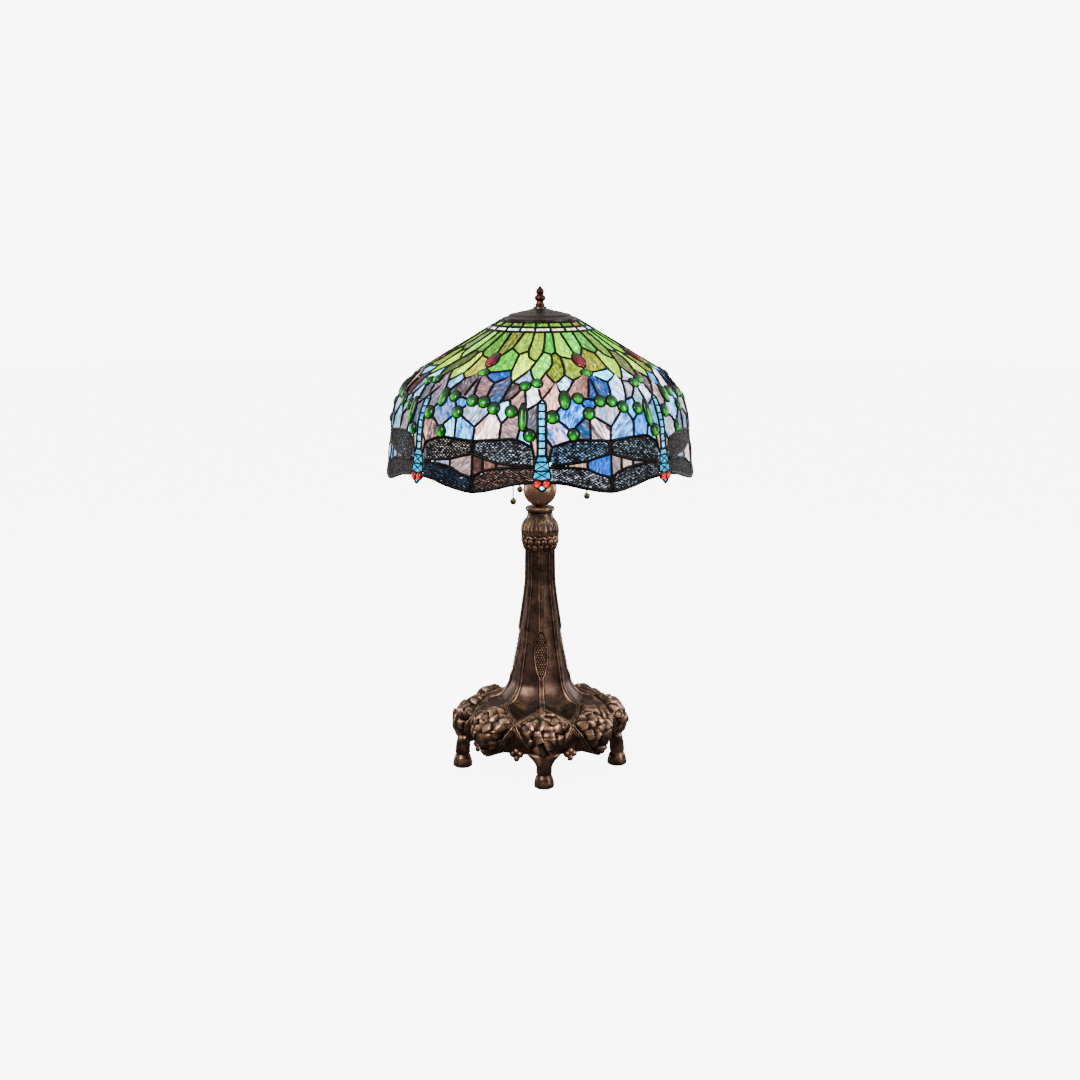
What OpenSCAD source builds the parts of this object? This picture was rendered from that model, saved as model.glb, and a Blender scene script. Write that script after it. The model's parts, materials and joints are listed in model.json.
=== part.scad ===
// Stained glass table lamp with a dragonfly shade.
// Millimetres, +Z up. Origin: centre of the base on the floor. The front foot points along -Y.

/* [Shade] */
// Outside radius of the shade at its rim
rim_r = 256; // [240:1:270]
// Radius of the shade where the cone meets the shoulder
knee_r = 192; // [180:1:200]
// Height of that meeting line
knee_z = 688; // [680:1:700]
// Fall of the cone, in degrees below level
cone_fall = 31.2; // [28:0.1:34]
// Radius of the rounded shoulder seen from the side
shoulder_arc = 116; // [100:1:130]
// Height where the shoulder ends and the lower wall begins
wall_z = 598; // [590:1:610]
// Lowest height of the scalloped rim
rim_z = 511; // [505:1:515]
// Turn of the shade against the base
shade_turn = -2.3; // [-10:0.1:10]
// Thickness of the glass
glass_t = 3; // [2:0.5:4]
// Width of one solder line between two panes
lead_w = 4.2; // [3:0.1:5]

/* [Jewels] */
// Diameter of the round green jewels
round_d = 18.5; // [16:0.5:20]
// Height of a jewel over the glass
jewel_h = 5; // [3:0.5:7]

/* [Foot and stem] */
// Radius of the circle through the middles of the lobes
lobe_ring = 109; // [105:1:112]
// Radius of one lobe; two neighbours just clear each other
lobe_r = 41.5; // [38:0.5:41.5]
// Height of the middle of the lobes
lobe_z = 76; // [70:1:85]
// Radius of the circle through the four feet
foot_ring = 133; // [125:1:138]
// Diameter of a foot
foot_d = 34; // [28:1:38]
// Width of a rib on the stem
rib_w = 8; // [5:1:12]
// Height of the seam between base and stem
stem_z = 112; // [108:1:118]

/* [Lighting] */
// Turn of the first socket against the front foot
socket_turn = -37; // [-60:1:60]
// Distance of the pull chains from the axis
chain_r = 79; // [70:1:90]
// Rise of the sockets above level, in degrees
socket_rise = 35; // [20:1:50]
// Diameter of the ball at the end of a chain
chain_ball_d = 11; // [8:1:14]

/* [Top] */
// Height of the flat rim of the heat cap
cap_z = 766.2; // [760:0.1:775]
// Radius of the heat cap
cap_r = 63; // [58:1:70]
// Height of the finial's tip
tip_z = 822; // [810:1:840]

/* [Output] */
// Sub-part to show

/* [Hidden] */
$fn = 48;
eps = 0.05;                // clearance between pieces that are soldered to each other
fit = 0.3;                 // clearance round everything that can move
sectors = 7;
sector = 360 / sectors;
rod_r = 5;                 // 10 mm threaded lamp pipe
pipe_top = cap_z - 0.7;    // the pipe that carries the shade ends just below the heat cap
wall_foot = 56;            // underside of the round wall of the base
socket_z = 548;            // height where the socket arms leave the cluster
socket_start = 48;         // distance from the axis where a socket begins
ball_z = 470;              // middle of the balls on the pull chains
bead_d = 3.2;
bead_pitch = 4.6;
next = 200;                // corner numbers from here on belong to the next sector
jewel_count = 15;          // the first corners of the pattern are the middles of jewels

// ---------- Colours ----------

bronze = [0.30, 0.21, 0.15];
solder = [0.12, 0.11, 0.11];
brass = [0.72, 0.58, 0.33];
leaf_green = [0.60, 0.80, 0.30];
jewel_green = [0.05, 0.50, 0.15];

// ---------- Shape of the shade ----------

// The shade is a surface of revolution: a cone, a rounded shoulder and a nearly upright wall.
arc_r0 = knee_r - shoulder_arc * sin(cone_fall);
arc_z0 = knee_z - shoulder_arc * cos(cone_fall);
wall_r = arc_r0 + sqrt(pow(shoulder_arc, 2) - pow(wall_z - arc_z0, 2));

function shade_r(z) =
    z >= knee_z ? knee_r - (z - knee_z) / tan(cone_fall)
    : z >= wall_z ? arc_r0 + sqrt(pow(shoulder_arc, 2) - pow(z - arc_z0, 2))
    : wall_r + (rim_r - wall_r) * (wall_z - z) / (wall_z - rim_z);

// Angle of the outward normal above level.
function normal_rise(z) =
    z >= knee_z ? 90 - cone_fall
    : z >= wall_z ? asin((z - arc_z0) / shoulder_arc)
    : atan((rim_r - wall_r) / (wall_z - rim_z));

// A point of the surface from its turn from the front (degrees) and its height.
function on_shade(c) = [shade_r(c[1]) * sin(c[0]), -shade_r(c[1]) * cos(c[0]), c[1]];

// ---------- Pattern of one sector ----------

// [turn from the middle of the dragonfly, height] of every corner between panes.
corners = [
    // 0-14: middles of the jewels
    [-29, 709], [-29, 691], [-28, 651], [-23, 650], [-18.5, 641], [-7, 674], [-2, 678],
    [-11.5, 637], [-7, 629], [-4.5, 601], [4, 629], [9, 654], [14.5, 656], [18, 633], [11.5, 602],
    // 15-23: lower ends of the upper leaves
    [-20.5, 727], [-14, 718], [-8.5, 723], [-7, 714], [-3, 708], [1.5, 722], [6.5, 718],
    [9.5, 721], [12, 715],
    // 24-28: upper ends of the upper leaves
    [-31, 750], [-17, 750], [-6, 750], [4.5, 750], [12, 750],
    // 29-38: lower leaves
    [-15, 696], [-13, 679], [-5.5, 698], [6, 705], [2, 692], [-4.5, 689], [12, 700], [11, 689],
    [6, 678], [14.5, 682],
    // 39-46: upper mosaic, the first one is the tip of the tail
    [0, 655], [-14.5, 687], [-21, 678], [-16, 651], [-12.5, 654], [-6, 648], [11, 668],
    [18.5, 655],
    // 47-53: left of the tail
    [-1.5, 570], [-5, 641], [-1.5, 649], [-1.5, 604], [-2.5, 566], [-3.5, 582], [-9, 594],
    // 54-60: between the chain of jewels and the left wing
    [-15, 619], [-13, 627], [-15.5, 594], [-25.2, 612], [-25.7, 590], [18, 592], [12.5, 614],
    // 61-67: right of the tail
    [8.5, 616], [3.7, 583], [1.5, 597], [1.5, 629], [1.5, 649], [2.5, 566], [11.5, 593],
    // 68-72: lower edge of the upper left wing
    [-3, 553.5], [-10, 554.5], [-16.5, 558], [-21.5, 564], [-25.7, 570],
    // 73-77: upper edge of the lower left wing
    [-3, 551], [-10, 550.5], [-16.5, 548.5], [-21.5, 543.5], [-25.7, 533],
    // 78-82: rim under the lower left wing
    [-25.7, 511], [-21, 513.5], [-15, 520], [-10, 526], [-3, 529.5],
    // 83-86: lower edge of the upper right wing
    [3, 553.5], [10, 556.5], [16.5, 560], [21, 565.5],
    // 87-90: upper edge of the lower right wing
    [3, 551], [10, 550.5], [16.5, 547], [21, 538],
    // 91-94: rim under the lower right wing
    [3, 529.5], [9, 526], [14, 520], [21, 513.5],
    // 95-100: thorax
    [1.5, 570], [-2.4, 560], [2.4, 560], [-2.8, 546], [2.8, 546], [-2.8, 533], [2.8, 533],
    // 102-104: mouth
    [-1.8, 523], [1.8, 523], [0, 515]
];

upper_leaves = [[24, 25, 15, 0], [25, 26, 17, 16, 15], [26, 27, 20, 19, 18, 17],
    [27, 28, 22, 21, 20], [28, 224, 200, 23, 22]];
lower_leaves = [[0, 15, 16, 29, 1], [16, 17, 18, 19, 31, 30, 40, 29], [19, 20, 21, 32, 33, 6, 34, 31],
    [21, 22, 23, 35, 36, 37, 33, 32], [23, 200, 201, 38, 36, 35]];
upper_mosaic = [[29, 40, 41, 1], [41, 40, 30, 42, 4, 3], [1, 41, 3, 2], [30, 31, 34, 6, 5],
    [33, 37, 39, 6], [37, 36, 38, 45, 11], [11, 45, 38, 201, 46, 12], [201, 202, 46],
    [30, 5, 43, 42]];
lower_mosaic = [[5, 44, 8, 7, 43], [5, 6, 39, 49, 48, 8, 44], [48, 49, 50, 9, 8],
    [9, 50, 47, 51, 52], [53, 8, 9, 52], [54, 55, 7, 8, 53, 56], [4, 42, 43, 7, 55, 54],
    [57, 4, 54, 56, 58], [13, 202, 203, 204, 257], [13, 257, 258, 59], [60, 13, 59, 67, 14],
    [11, 12, 13, 60, 14, 61, 10], [12, 46, 202, 13], [64, 10, 61, 14, 67, 62, 63],
    [39, 37, 11, 10, 64, 65], [63, 62, 66, 95]];
spandrels = [[69, 70, 75, 74], [70, 71, 76, 75], [71, 72, 77, 76], [84, 85, 89, 88],
    [85, 86, 272, 277, 90, 89]];
upper_wings = [[51, 52, 53, 69, 68], [53, 56, 70, 69], [56, 58, 72, 71, 70],
    [66, 62, 67, 84, 83], [67, 59, 85, 84], [59, 258, 272, 86, 85]];
lower_wings = [[73, 74, 81, 82], [74, 75, 80, 81], [75, 76, 77, 78, 79, 80],
    [87, 88, 92, 91], [88, 89, 93, 92], [89, 90, 277, 278, 94, 93]];
thorax = [[47, 95, 97, 96], [96, 97, 99, 98], [98, 99, 101, 100], [102, 103, 104]];
rim_line = [78, 79, 80, 81, 82, 102, 104, 103, 91, 92, 93, 94];

tail_top = 655;
tail_bottom = 570;
tail_panes = 7;
tail_half = 1.5;

// Size of each jewel, [width, length along the fall of the shade].
jewels = [[19, 38], [round_d, round_d], [round_d, round_d], [round_d, round_d], [round_d, round_d],
    [17.5, 17.5], [17.5, 17.5], [round_d, round_d], [13, 44], [18, 18], [20, 20], [17, 32],
    [17.5, 17.5], [round_d, round_d], [18, 18]];
eye_d = 12;
eyes = [[-1.55, 526.5], [1.55, 526.5]];

function corner(i) = i < next ? corners[i] : corners[i - next] + [sector, 0];
function sum(v, i = 0) = i < len(v) ? v[i] + sum(v, i + 1) : 0 * v[0];
function mean(v) = sum(v) / len(v);
function area(p) =
    sum([for (i = [0:len(p) - 1]) cross(p[i], p[(i + 1) % len(p)])]) / 2;
function ordered(p) = area(p) > 0 ? p : [for (i = [len(p) - 1:-1:0]) p[i]];
function side_normal(a, b) = [a[1] - b[1], b[0] - a[0]] / norm(b - a);

// The outline moved inwards by d on every side.
function inset(p, d) = [for (i = [0:len(p) - 1])
    let (n = len(p), before = side_normal(p[(i + n - 1) % n], p[i]),
        after = side_normal(p[i], p[(i + 1) % n]))
    p[i] + d * (before + after) / (1 + before * after)];

// Directions of a flat piece that lies on the shade at c: along the rim, up the slope, outwards.
function along(c) = [cos(c[0]), sin(c[0]), 0];
function upslope(c) = let (t = normal_rise(c[1])) [-sin(c[0]) * sin(t), cos(c[0]) * sin(t), cos(t)];
function outwards(c) = let (t = normal_rise(c[1])) [sin(c[0]) * cos(t), -cos(c[0]) * cos(t), sin(t)];

module lay_on_shade(c, lift = 0) {
    a = along(c);
    b = upslope(c);
    n = outwards(c);
    o = on_shade(c) + lift * n;
    multmatrix([[a[0], b[0], n[0], o[0]], [a[1], b[1], n[1], o[1]], [a[2], b[2], n[2], o[2]]])
        children();
}

// Corners of a pane drawn flat, seen from outside, round its middle c.
function flat(cs, c) = ordered([for (q = cs) let (d = on_shade(q) - on_shade(c)) [d * along(c), d * upslope(c)]]);
function sag(cs, c) = mean([for (q = cs) (on_shade(q) - on_shade(c)) * outwards(c)]);

module each_sector() {
    for (k = [0:sectors - 1])
        rotate([0, 0, shade_turn + k * sector])
            children();
}

// ---------- Glass and solder ----------

module jewel_seats(face) {
    for (i = face)
        if (i % next < jewel_count)
            let (j = i % next, size = jewels[j])
                lay_on_shade(corner(i))
                    oval_prism(size[0] / 2 + 1.5, size[1] / 2 + 1.5, 24);
}

module oval_prism(a, b, h) {
    if (a == b)
        cylinder(r = a, h = h, center = true);
    else
        linear_extrude(height = h, center = true)
            polygon([for (t = [0:30:330]) [a * cos(t), b * sin(t)]]);
}

module pane(cs, seats = []) {
    c = mean(cs);
    difference() {
        lay_on_shade(c, sag(cs, c) - glass_t)
            linear_extrude(height = glass_t)
                polygon(inset(flat(cs, c), lead_w / 2 + eps));
        jewel_seats(seats);
    }
}

module solder_frame(cs, seats = []) {
    c = mean(cs);
    outline = flat(cs, c);
    n = len(outline);
    difference() {
        lay_on_shade(c, sag(cs, c) - glass_t - 0.5)
            linear_extrude(height = glass_t + 1.2)
                polygon(concat(inset(outline, 0.3), inset(outline, lead_w / 2)),
                    [[for (i = [0:n - 1]) i], [for (i = [2 * n - 1:-1:n]) i]]);
        jewel_seats(seats);
    }
}

module glass_row(faces) {
    each_sector()
        for (f = faces)
            pane([for (i = f) corner(i)], f);
}

module solder_row(faces) {
    each_sector()
        for (f = faces)
            solder_frame([for (i = f) corner(i)], f);
}

// Corners of one pane in a plain ring of three panes per sector.
function ring_pane(k, low, high) =
    let (a = -6 + k * sector / 3, b = a + sector / 3)
    [[a, low], [b, low], [b, high], [a, high]];

function tail_z(i) = tail_top - 6 - i * (tail_top - 6 - tail_bottom) / tail_panes;
function tail_pane(i) =
    [[-tail_half, tail_z(i)], [tail_half, tail_z(i)], [tail_half, tail_z(i + 1)],
    [-tail_half, tail_z(i + 1)]];

module crown_glass() {
    color(leaf_green)
        each_sector()
            for (k = [0:2])
                pane(ring_pane(k, 757, 764));
}

module band_glass() {
    color([0.95, 0.90, 0.85])
        each_sector()
            for (k = [0:2])
                pane(ring_pane(k, 750.5, 756.5));
}

module upper_leaf_glass() {
    color(leaf_green)
        glass_row(upper_leaves);
}

module lower_leaf_glass() {
    color([0.80, 0.80, 0.35])
        glass_row(lower_leaves);
}

module upper_mosaic_glass() {
    color([0.85, 0.75, 0.80])
        glass_row(upper_mosaic);
}

module lower_mosaic_glass() {
    color([0.90, 0.80, 0.80])
        glass_row(lower_mosaic);
}

module spandrel_glass() {
    color([0.25, 0.60, 0.90])
        glass_row(spandrels);
}

module upper_wing_glass() {
    color([0.15, 0.13, 0.20])
        glass_row(upper_wings);
}

module lower_wing_glass() {
    color([0.20, 0.13, 0.14])
        glass_row(lower_wings);
}

module tail_glass() {
    color([0.70, 0.88, 0.95])
        each_sector() {
            pane([[-tail_half, tail_top - 6], [tail_half, tail_top - 6], [0, tail_top]]);
            for (i = [0:tail_panes - 1])
                pane(tail_pane(i));
        }
}

module thorax_glass() {
    color([0.25, 0.70, 0.92])
        difference() {
            glass_row(thorax);
            each_sector()
                for (e = eyes)
                    lay_on_shade(e)
                        cylinder(d = eye_d + 2.6, h = 24, center = true);
        }
}

module crown_lead() {
    color(solder)
        each_sector()
            for (k = [0:2]) {
                solder_frame(ring_pane(k, 757, 764));
                solder_frame(ring_pane(k, 750.5, 756.5));
            }
}

module leaf_lead() {
    color(solder)
        solder_row(concat(upper_leaves, lower_leaves));
}

module mosaic_lead() {
    color(solder)
        solder_row(concat(upper_mosaic, lower_mosaic, spandrels));
}

module wing_lead() {
    color(solder)
        difference() {
            solder_row(concat(upper_wings, lower_wings));
            eye_spaces();
            jewel_spaces();
        }
}

// What the settings of the eyes and the jewels take up.
module eye_spaces() {
    each_sector()
        for (e = eyes)
            lay_on_shade(e)
                cylinder(d = eye_d + 2.6, h = 24, center = true);
}

module jewel_spaces() {
    each_sector()
        for (i = [0:jewel_count - 1])
            lay_on_shade(corners[i])
                oval_prism(jewels[i][0] / 2 + 1.6, jewels[i][1] / 2 + 1.6, 16);
}

module body_lead() {
    color(solder)
        difference() {
            each_sector() {
                for (f = thorax)
                    solder_frame([for (i = f) corner(i)]);
                for (i = [0:tail_panes - 1])
                    solder_frame(tail_pane(i));
            }
            eye_spaces();
            jewel_spaces();
        }
}

// ---------- Jewels ----------

// A domed stone: the cap of a sphere, or of a long spheroid when it is longer than wide.
module jewel(w, l) {
    bulge = (pow(w / 2, 2) + pow(jewel_h, 2)) / (2 * jewel_h);
    translate([0, 0, -glass_t])
        oval_prism(w / 2, l / 2, 2 * eps);
    intersection() {
        translate([0, 0, -glass_t])
            oval_prism(w / 2, l / 2, 2 * (glass_t + jewel_h));
        translate([0, 0, jewel_h - bulge])
            if (w == l)
                sphere(r = bulge);
            else
                rotate([90, 0, 0])
                    cylinder(r = bulge, h = l + 2, center = true);
        translate([-w, -l, -glass_t])
            cube([2 * w, 2 * l, glass_t + jewel_h]);
    }
}

module jewel_row(numbers) {
    each_sector()
        for (i = numbers)
            lay_on_shade(corners[i])
                jewel(jewels[i][0], jewels[i][1]);
}

module ruby_jewels() {
    color([0.55, 0.03, 0.12])
        jewel_row([0]);
}

module oval_jewels() {
    color(jewel_green)
        jewel_row([8, 11]);
}

module round_jewels() {
    color(jewel_green)
        jewel_row([1, 2, 3, 4, 5, 6, 7, 9, 10, 12, 13, 14]);
}

module eye_jewels() {
    color([0.90, 0.15, 0.08])
        each_sector()
            for (e = eyes)
                lay_on_shade(e)
                    jewel(eye_d, eye_d);
}

module jewel_ring(w, l) {
    difference() {
        oval_prism(w / 2 + 1.3, l / 2 + 1.3, glass_t + 1);
        oval_prism(w / 2 + eps, l / 2 + eps, 3 * glass_t);
    }
}

module jewel_rings() {
    color(solder)
        each_sector() {
            for (i = [0:jewel_count - 1])
                lay_on_shade(corners[i], -glass_t / 2)
                    jewel_ring(jewels[i][0], jewels[i][1]);
            for (e = eyes)
                lay_on_shade(e, -glass_t / 2)
                    difference() {
                        cylinder(d = eye_d + 1.6, h = glass_t + 1, center = true);
                        cylinder(d = eye_d + 2 * eps, h = 3 * glass_t, center = true);
                    }
        }
}

// The border of the thin brass net over one wing pane.
module filigree(cs) {
    c = mean(cs);
    outline = inset(flat(cs, c), lead_w / 2 + 0.4);
    n = len(outline);
    inner = inset(outline, 1.5);
    lay_on_shade(c, sag(cs, c) + eps)
        linear_extrude(height = 0.6)
            polygon(concat(outline, inner), [[for (i = [0:n - 1]) i], [for (i = [2 * n - 1:-1:n]) i]]);
}

module wing_filigree() {
    color(brass)
        each_sector()
            for (f = concat(upper_wings, lower_wings))
                filigree([for (i = f) corner(i)]);
}

module rod_between(a, b, r) {
    d = b - a;
    l = norm(d);
    translate(a)
        rotate([0, acos(d[2] / l), atan2(d[1], d[0])])
            cylinder(r = r, h = l + r / 2, $fn = 6);
}

// The wire along the scalloped rim stands just under the solder of the lowest panes.
module rim_wire() {
    wire_r = 1.6;
    drop = [0, 0, -2.2];
    color(solder)
        difference() {
            each_sector() {
                for (i = [0:len(rim_line) - 1]) {
                    a = corner(rim_line[i]);
                    b = i < len(rim_line) - 1 ? corner(rim_line[i + 1]) : corner(rim_line[0] + next);
                    rod_between(on_shade(a) + drop, on_shade(b) + drop, wire_r);
                }
            }
            eye_spaces();
        }
}

module shade_top_ring() {
    color(brass)
        difference() {
            translate([0, 0, 762])
                cylinder(r = 63.6, h = 4);
            translate([0, 0, 760])
                cylinder(r = 54, h = 10);
        }
}

// ---------- Cap and finial ----------

module heat_cap() {
    color(bronze)
        difference() {
            rotate_extrude()
                polygon([[5.3, 787], [5.3, 781], [12, 779.5], [33, 775.5], [45, 772], [50, 768.5],
                    [57, 767.5], [57, cap_z], [cap_r, cap_z], [cap_r, 768.5], [60.5, 769.5],
                    [53, 771.7], [50.5, 774.5], [47, 775.6], [42, 776.2], [34.5, 778.6], [24, 780.6],
                    [15.2, 783], [11.6, 784], [11, 786.4], [9, 787]]);
            for (k = [0:17])
                rotate([0, 0, k * 20])
                    translate([32, 0, 760])
                        cylinder(r = 2.6, h = 30, $fn = 24);
        }
}

// The finial stands on the cap, with a stud that goes down through the hole of the cap.
module finial() {
    color(bronze)
        union() {
            translate([0, 0, pipe_top + fit])
                cylinder(r = rod_r, h = 788 - pipe_top);
            translate([0, 0, 787.3])
                cylinder(r = 8, h = 4.2);
            translate([0, 0, 791])
                cylinder(r1 = 7, r2 = 5.4, h = 5);
            translate([0, 0, 801])
                rotate_extrude()
                    polygon(concat([[0, -6], [0, 6]],
                        [for (t = [80:-16:-80]) [3.8 + 5.5 * cos(t), 5.8 * sin(t)]]));
            translate([0, 0, 805])
                cylinder(r = 5.4, h = 3);
            translate([0, 0, 811.3])
                sphere(r = 6.9);
            translate([0, 0, 815])
                cylinder(r1 = 5.2, r2 = 1, h = tip_z - 816);
            translate([0, 0, tip_z - 1])
                sphere(r = 1);
        }
}

// ---------- Foot ----------

module each_of(n, turn = 0) {
    for (k = [0:n - 1])
        rotate([0, 0, turn + k * 360 / n])
            children();
}

module lobe_ball(r) {
    translate([0, -lobe_ring, lobe_z])
        sphere(r = r);
}

module leg() {
    translate([0, -foot_ring, 0]) {
        translate([0, 0, 18])
            cylinder(r1 = foot_d / 2 - 4, r2 = 12.5, h = 40);
        translate([0, 0, 1.5])
            cylinder(r1 = foot_d / 2 - 3, r2 = foot_d / 2, h = 5);
        translate([0, 0, 6.5])
            cylinder(r = foot_d / 2, h = 7);
        translate([0, 0, 13.5])
            cylinder(r1 = foot_d / 2, r2 = foot_d / 2 - 4, h = 4.6);
    }
}

// The round wall of the base and its sloping roof, grown by space on every side.
module base_core(space = 0) {
    translate([0, 0, wall_foot - space])
        cylinder(r = 108 + space, h = 40 + 2 * space);
    translate([0, 0, wall_foot + 40])
        cylinder(r1 = 104 + space, r2 = 77 + space, h = stem_z - wall_foot - 40);
}

module cord_way() {
    translate([0, 80, 70])
        rotate([-90, 0, 0])
            cylinder(r = 5, h = 90);
    translate([0, 148.4, 70])
        rotate([-90, 0, 0])
            cylinder(r = 8, h = 20);
}

module base_casting() {
    color(bronze)
        difference() {
            base_core();
            translate([0, 0, 30])
                cylinder(r1 = 98, r2 = 88, h = 60);
            translate([0, 0, 80])
                cylinder(r = rod_r + fit, h = 60);
            cord_way();
        }
}

// Eight hollow lobes that stand out from the wall of the base.
module base_lobes() {
    color(bronze)
        difference() {
            each_of(8)
                difference() {
                    lobe_ball(lobe_r);
                    lobe_ball(lobe_r - 5);
                }
            base_core(0.15);
            translate([0, 0, 20])
                cylinder(r = 108.15, h = 40);
            cord_way();
        }
}

module base_legs() {
    color(bronze)
        each_of(4)
            difference() {
                leg();
                lobe_ball(lobe_r + 0.15);
            }
}

// The points under the four lobes that have no leg, and a drop between each two lobes.
module base_drops() {
    color(bronze) {
        each_of(4, 45)
            difference() {
                translate([0, -lobe_ring - 4, 0])
                    rotate([90, 0, 0])
                        linear_extrude(height = 15)
                            polygon([[-14, 50], [14, 50], [3, 32], [-3, 32]]);
                lobe_ball(lobe_r + 0.15);
            }
        each_of(8, 22.5)
            difference() {
                union() {
                    translate([0, -112, 45])
                        sphere(r = 5.5);
                    translate([0, -110, 45])
                        cylinder(r1 = 3, r2 = 9, h = wall_foot - 45.15);
                }
                rotate([0, 0, 22.5])
                    lobe_ball(lobe_r + 0.15);
                rotate([0, 0, -22.5])
                    lobe_ball(lobe_r + 0.15);
            }
    }
}

module foot_pads() {
    color([0.08, 0.08, 0.08])
        each_of(4)
            translate([0, -foot_ring, 0])
                cylinder(r = foot_d / 2 - 4, h = 1.5);
}

// The insulating bushing of the cord, in the wall at the back of the base.
module cord_bushing() {
    color([0.05, 0.05, 0.05])
        translate([0, 151, 70])
            rotate([90, 0, 0])
                difference() {
                    union() {
                        cylinder(r = 7.5, h = 2.5);
                        cylinder(r = 4.7, h = 30);
                    }
                    translate([0, 0, -1])
                        cylinder(r = 3.2, h = 40);
                }
}

module bottom_washer() {
    color(brass)
        translate([0, 0, 87.5])
            difference() {
                cylinder(r = 22, h = 2.5 - eps);
                translate([0, 0, -1])
                    cylinder(r = rod_r + fit, h = 5);
            }
}

module bottom_nut() {
    color(brass)
        translate([0, 0, 82])
            difference() {
                cylinder(r = 11, h = 5.4, $fn = 6);
                translate([0, 0, -1])
                    cylinder(r = rod_r + eps, h = 8);
            }
}

module center_rod() {
    color(brass)
        translate([0, 0, 78])
            difference() {
                cylinder(r = rod_r, h = 450);
                translate([0, 0, -1])
                    cylinder(r = 3.5, h = 460);
            }
}

// ---------- Stem ----------

// [radius, height] up the outside of the fluted stem.
stem_line = [[76, stem_z + eps], [76, 116], [63.4, 133.3], [52.1, 152], [45.9, 186], [39.2, 220],
    [33.9, 256], [28.9, 290], [24.6, 325], [23.6, 385]];

module stem_casting() {
    color(bronze)
        difference() {
            union() {
                rotate_extrude()
                    polygon(concat([[rod_r + fit, 385], [rod_r + fit, stem_z + eps]],
                        [for (p = stem_line) [p[0] - 2.5, p[1]]]));
                each_of(8)
                    rotate([90, 0, 0])
                        linear_extrude(height = rib_w, center = true)
                            polygon(concat([[12, 383], [12, stem_z + 2]],
                                [for (p = stem_line) [p[0], p[1] == stem_line[0][1] ? stem_z + 2
                                    : p[1] - (p[1] == 385 ? 2 : 0)]]));
                each_of(4)
                    pod();
            }
            translate([0, 0, 100])
                cylinder(r1 = 58, r2 = 30, h = 60);
            translate([0, 0, 159.9])
                cylinder(r1 = 30, r2 = 15, h = 170);
            translate([0, 0, 100])
                cylinder(r = rod_r + fit, h = 300);
        }
}

// An almond shaped boss that lies on a rib above each foot.
module pod() {
    half_l = 38;
    half_w = 13;
    arc = (pow(half_l, 2) + pow(half_w, 2)) / (2 * half_w);
    reach = asin(half_l / arc);
    steps = [-5:5];
    translate([0, -39.5, 205])
        rotate([79.5, 0, 0])
            translate([0, 0, -6])
                linear_extrude(height = 10)
                    polygon(concat(
                        [for (i = steps) [arc * cos(reach * i / 5) - arc + half_w, arc * sin(reach * i / 5)]],
                        [for (i = [4:-1:-4]) [arc - half_w - arc * cos(reach * i / 5), arc * sin(reach * i / 5)]]));
}

module stem_capital() {
    color(bronze)
        difference() {
            union() {
                rotate_extrude()
                    polygon([[rod_r + fit, 385 + eps], [24, 385 + eps], [26, 389], [28.5, 400], [29.5, 405],
                        [27, 408], [28, 413], [30.5, 418], [29, 423], [22, 428], [20.5, 436], [22, 443],
                        [rod_r + fit, 443]]);
                each_of(8)
                    rotate([90, 0, 0])
                        linear_extrude(height = 10, center = true)
                            polygon([[15, 388], [25, 388], [30.8, 403], [28.5, 407], [32, 417], [29, 423.5],
                                [15, 424]]);
            }
            translate([0, 0, 380])
                cylinder(r = rod_r + fit, h = 80);
        }
}

module neck_ring() {
    color(bronze)
        translate([0, 0, 448])
            difference() {
                union() {
                    rotate_extrude()
                        translate([20, 0])
                            circle(r = 4.8);
                    cylinder(r = 20, h = 9.4, center = true);
                }
                cylinder(r = rod_r + fit, h = 20, center = true);
            }
}

module neck_ball() {
    color(bronze)
        difference() {
            translate([0, 0, 480])
                sphere(r = 28.2);
            translate([0, 0, 440])
                cylinder(r = 40, h = 12.9);
            translate([0, 0, 507])
                cylinder(r = 40, h = 12.9);
            translate([0, 0, 440])
                cylinder(r = rod_r + fit, h = 80);
        }
}

// ---------- Sockets ----------

module each_socket() {
    for (k = [0:2])
        rotate([0, 0, socket_turn + k * 120])
            children();
}

// Draws along the axis of a socket: +Z is the way the bulb points.
module along_socket() {
    each_socket()
        translate([0, -socket_start, socket_z])
            rotate([90 - socket_rise, 0, 0])
                children();
}

module cluster_body() {
    color(bronze)
        difference() {
            rotate_extrude()
                polygon([[0, 507.1], [14, 507.1], [12, 515], [13, 522], [22, 530], [26, 540], [26, 556],
                    [22, 564], [14, 570], [9, 578], [0, 578]]);
            translate([0, 0, 500])
                cylinder(r = rod_r + eps, h = 28.2);
            translate([0, 0, 560])
                cylinder(r = rod_r + eps, h = 30);
        }
}

module socket_arms() {
    color(brass)
        each_socket() {
            translate([0, -26.3, 546])
                rotate([90, 0, 0])
                    cylinder(r = 4.8, h = 12);
            translate([0, -38.3, 546])
                sphere(r = 6.5);
            translate([0, -socket_start, socket_z])
                rotate([90 - socket_rise, 0, 0])
                    translate([0, 0, -9])
                        cylinder(r = 4.8, h = 9);
        }
}

module socket_caps() {
    color(brass)
        along_socket()
            rotate_extrude()
                polygon([[0, eps], [8, eps], [15, 5], [18, 12], [18, 18], [16.9, 18], [16.9, 12.5],
                    [14, 6.5], [0, 3]]);
}

module socket_shells() {
    color(brass)
        along_socket()
            difference() {
                translate([0, 0, 18.2])
                    cylinder(r = 18, h = 40);
                translate([0, 0, 17])
                    cylinder(r = 17.2, h = 50);
                translate([0, 0, 26.5])
                    rotate([90, 0, 0])
                        cylinder(r = 4.5, h = 40);
            }
}

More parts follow.
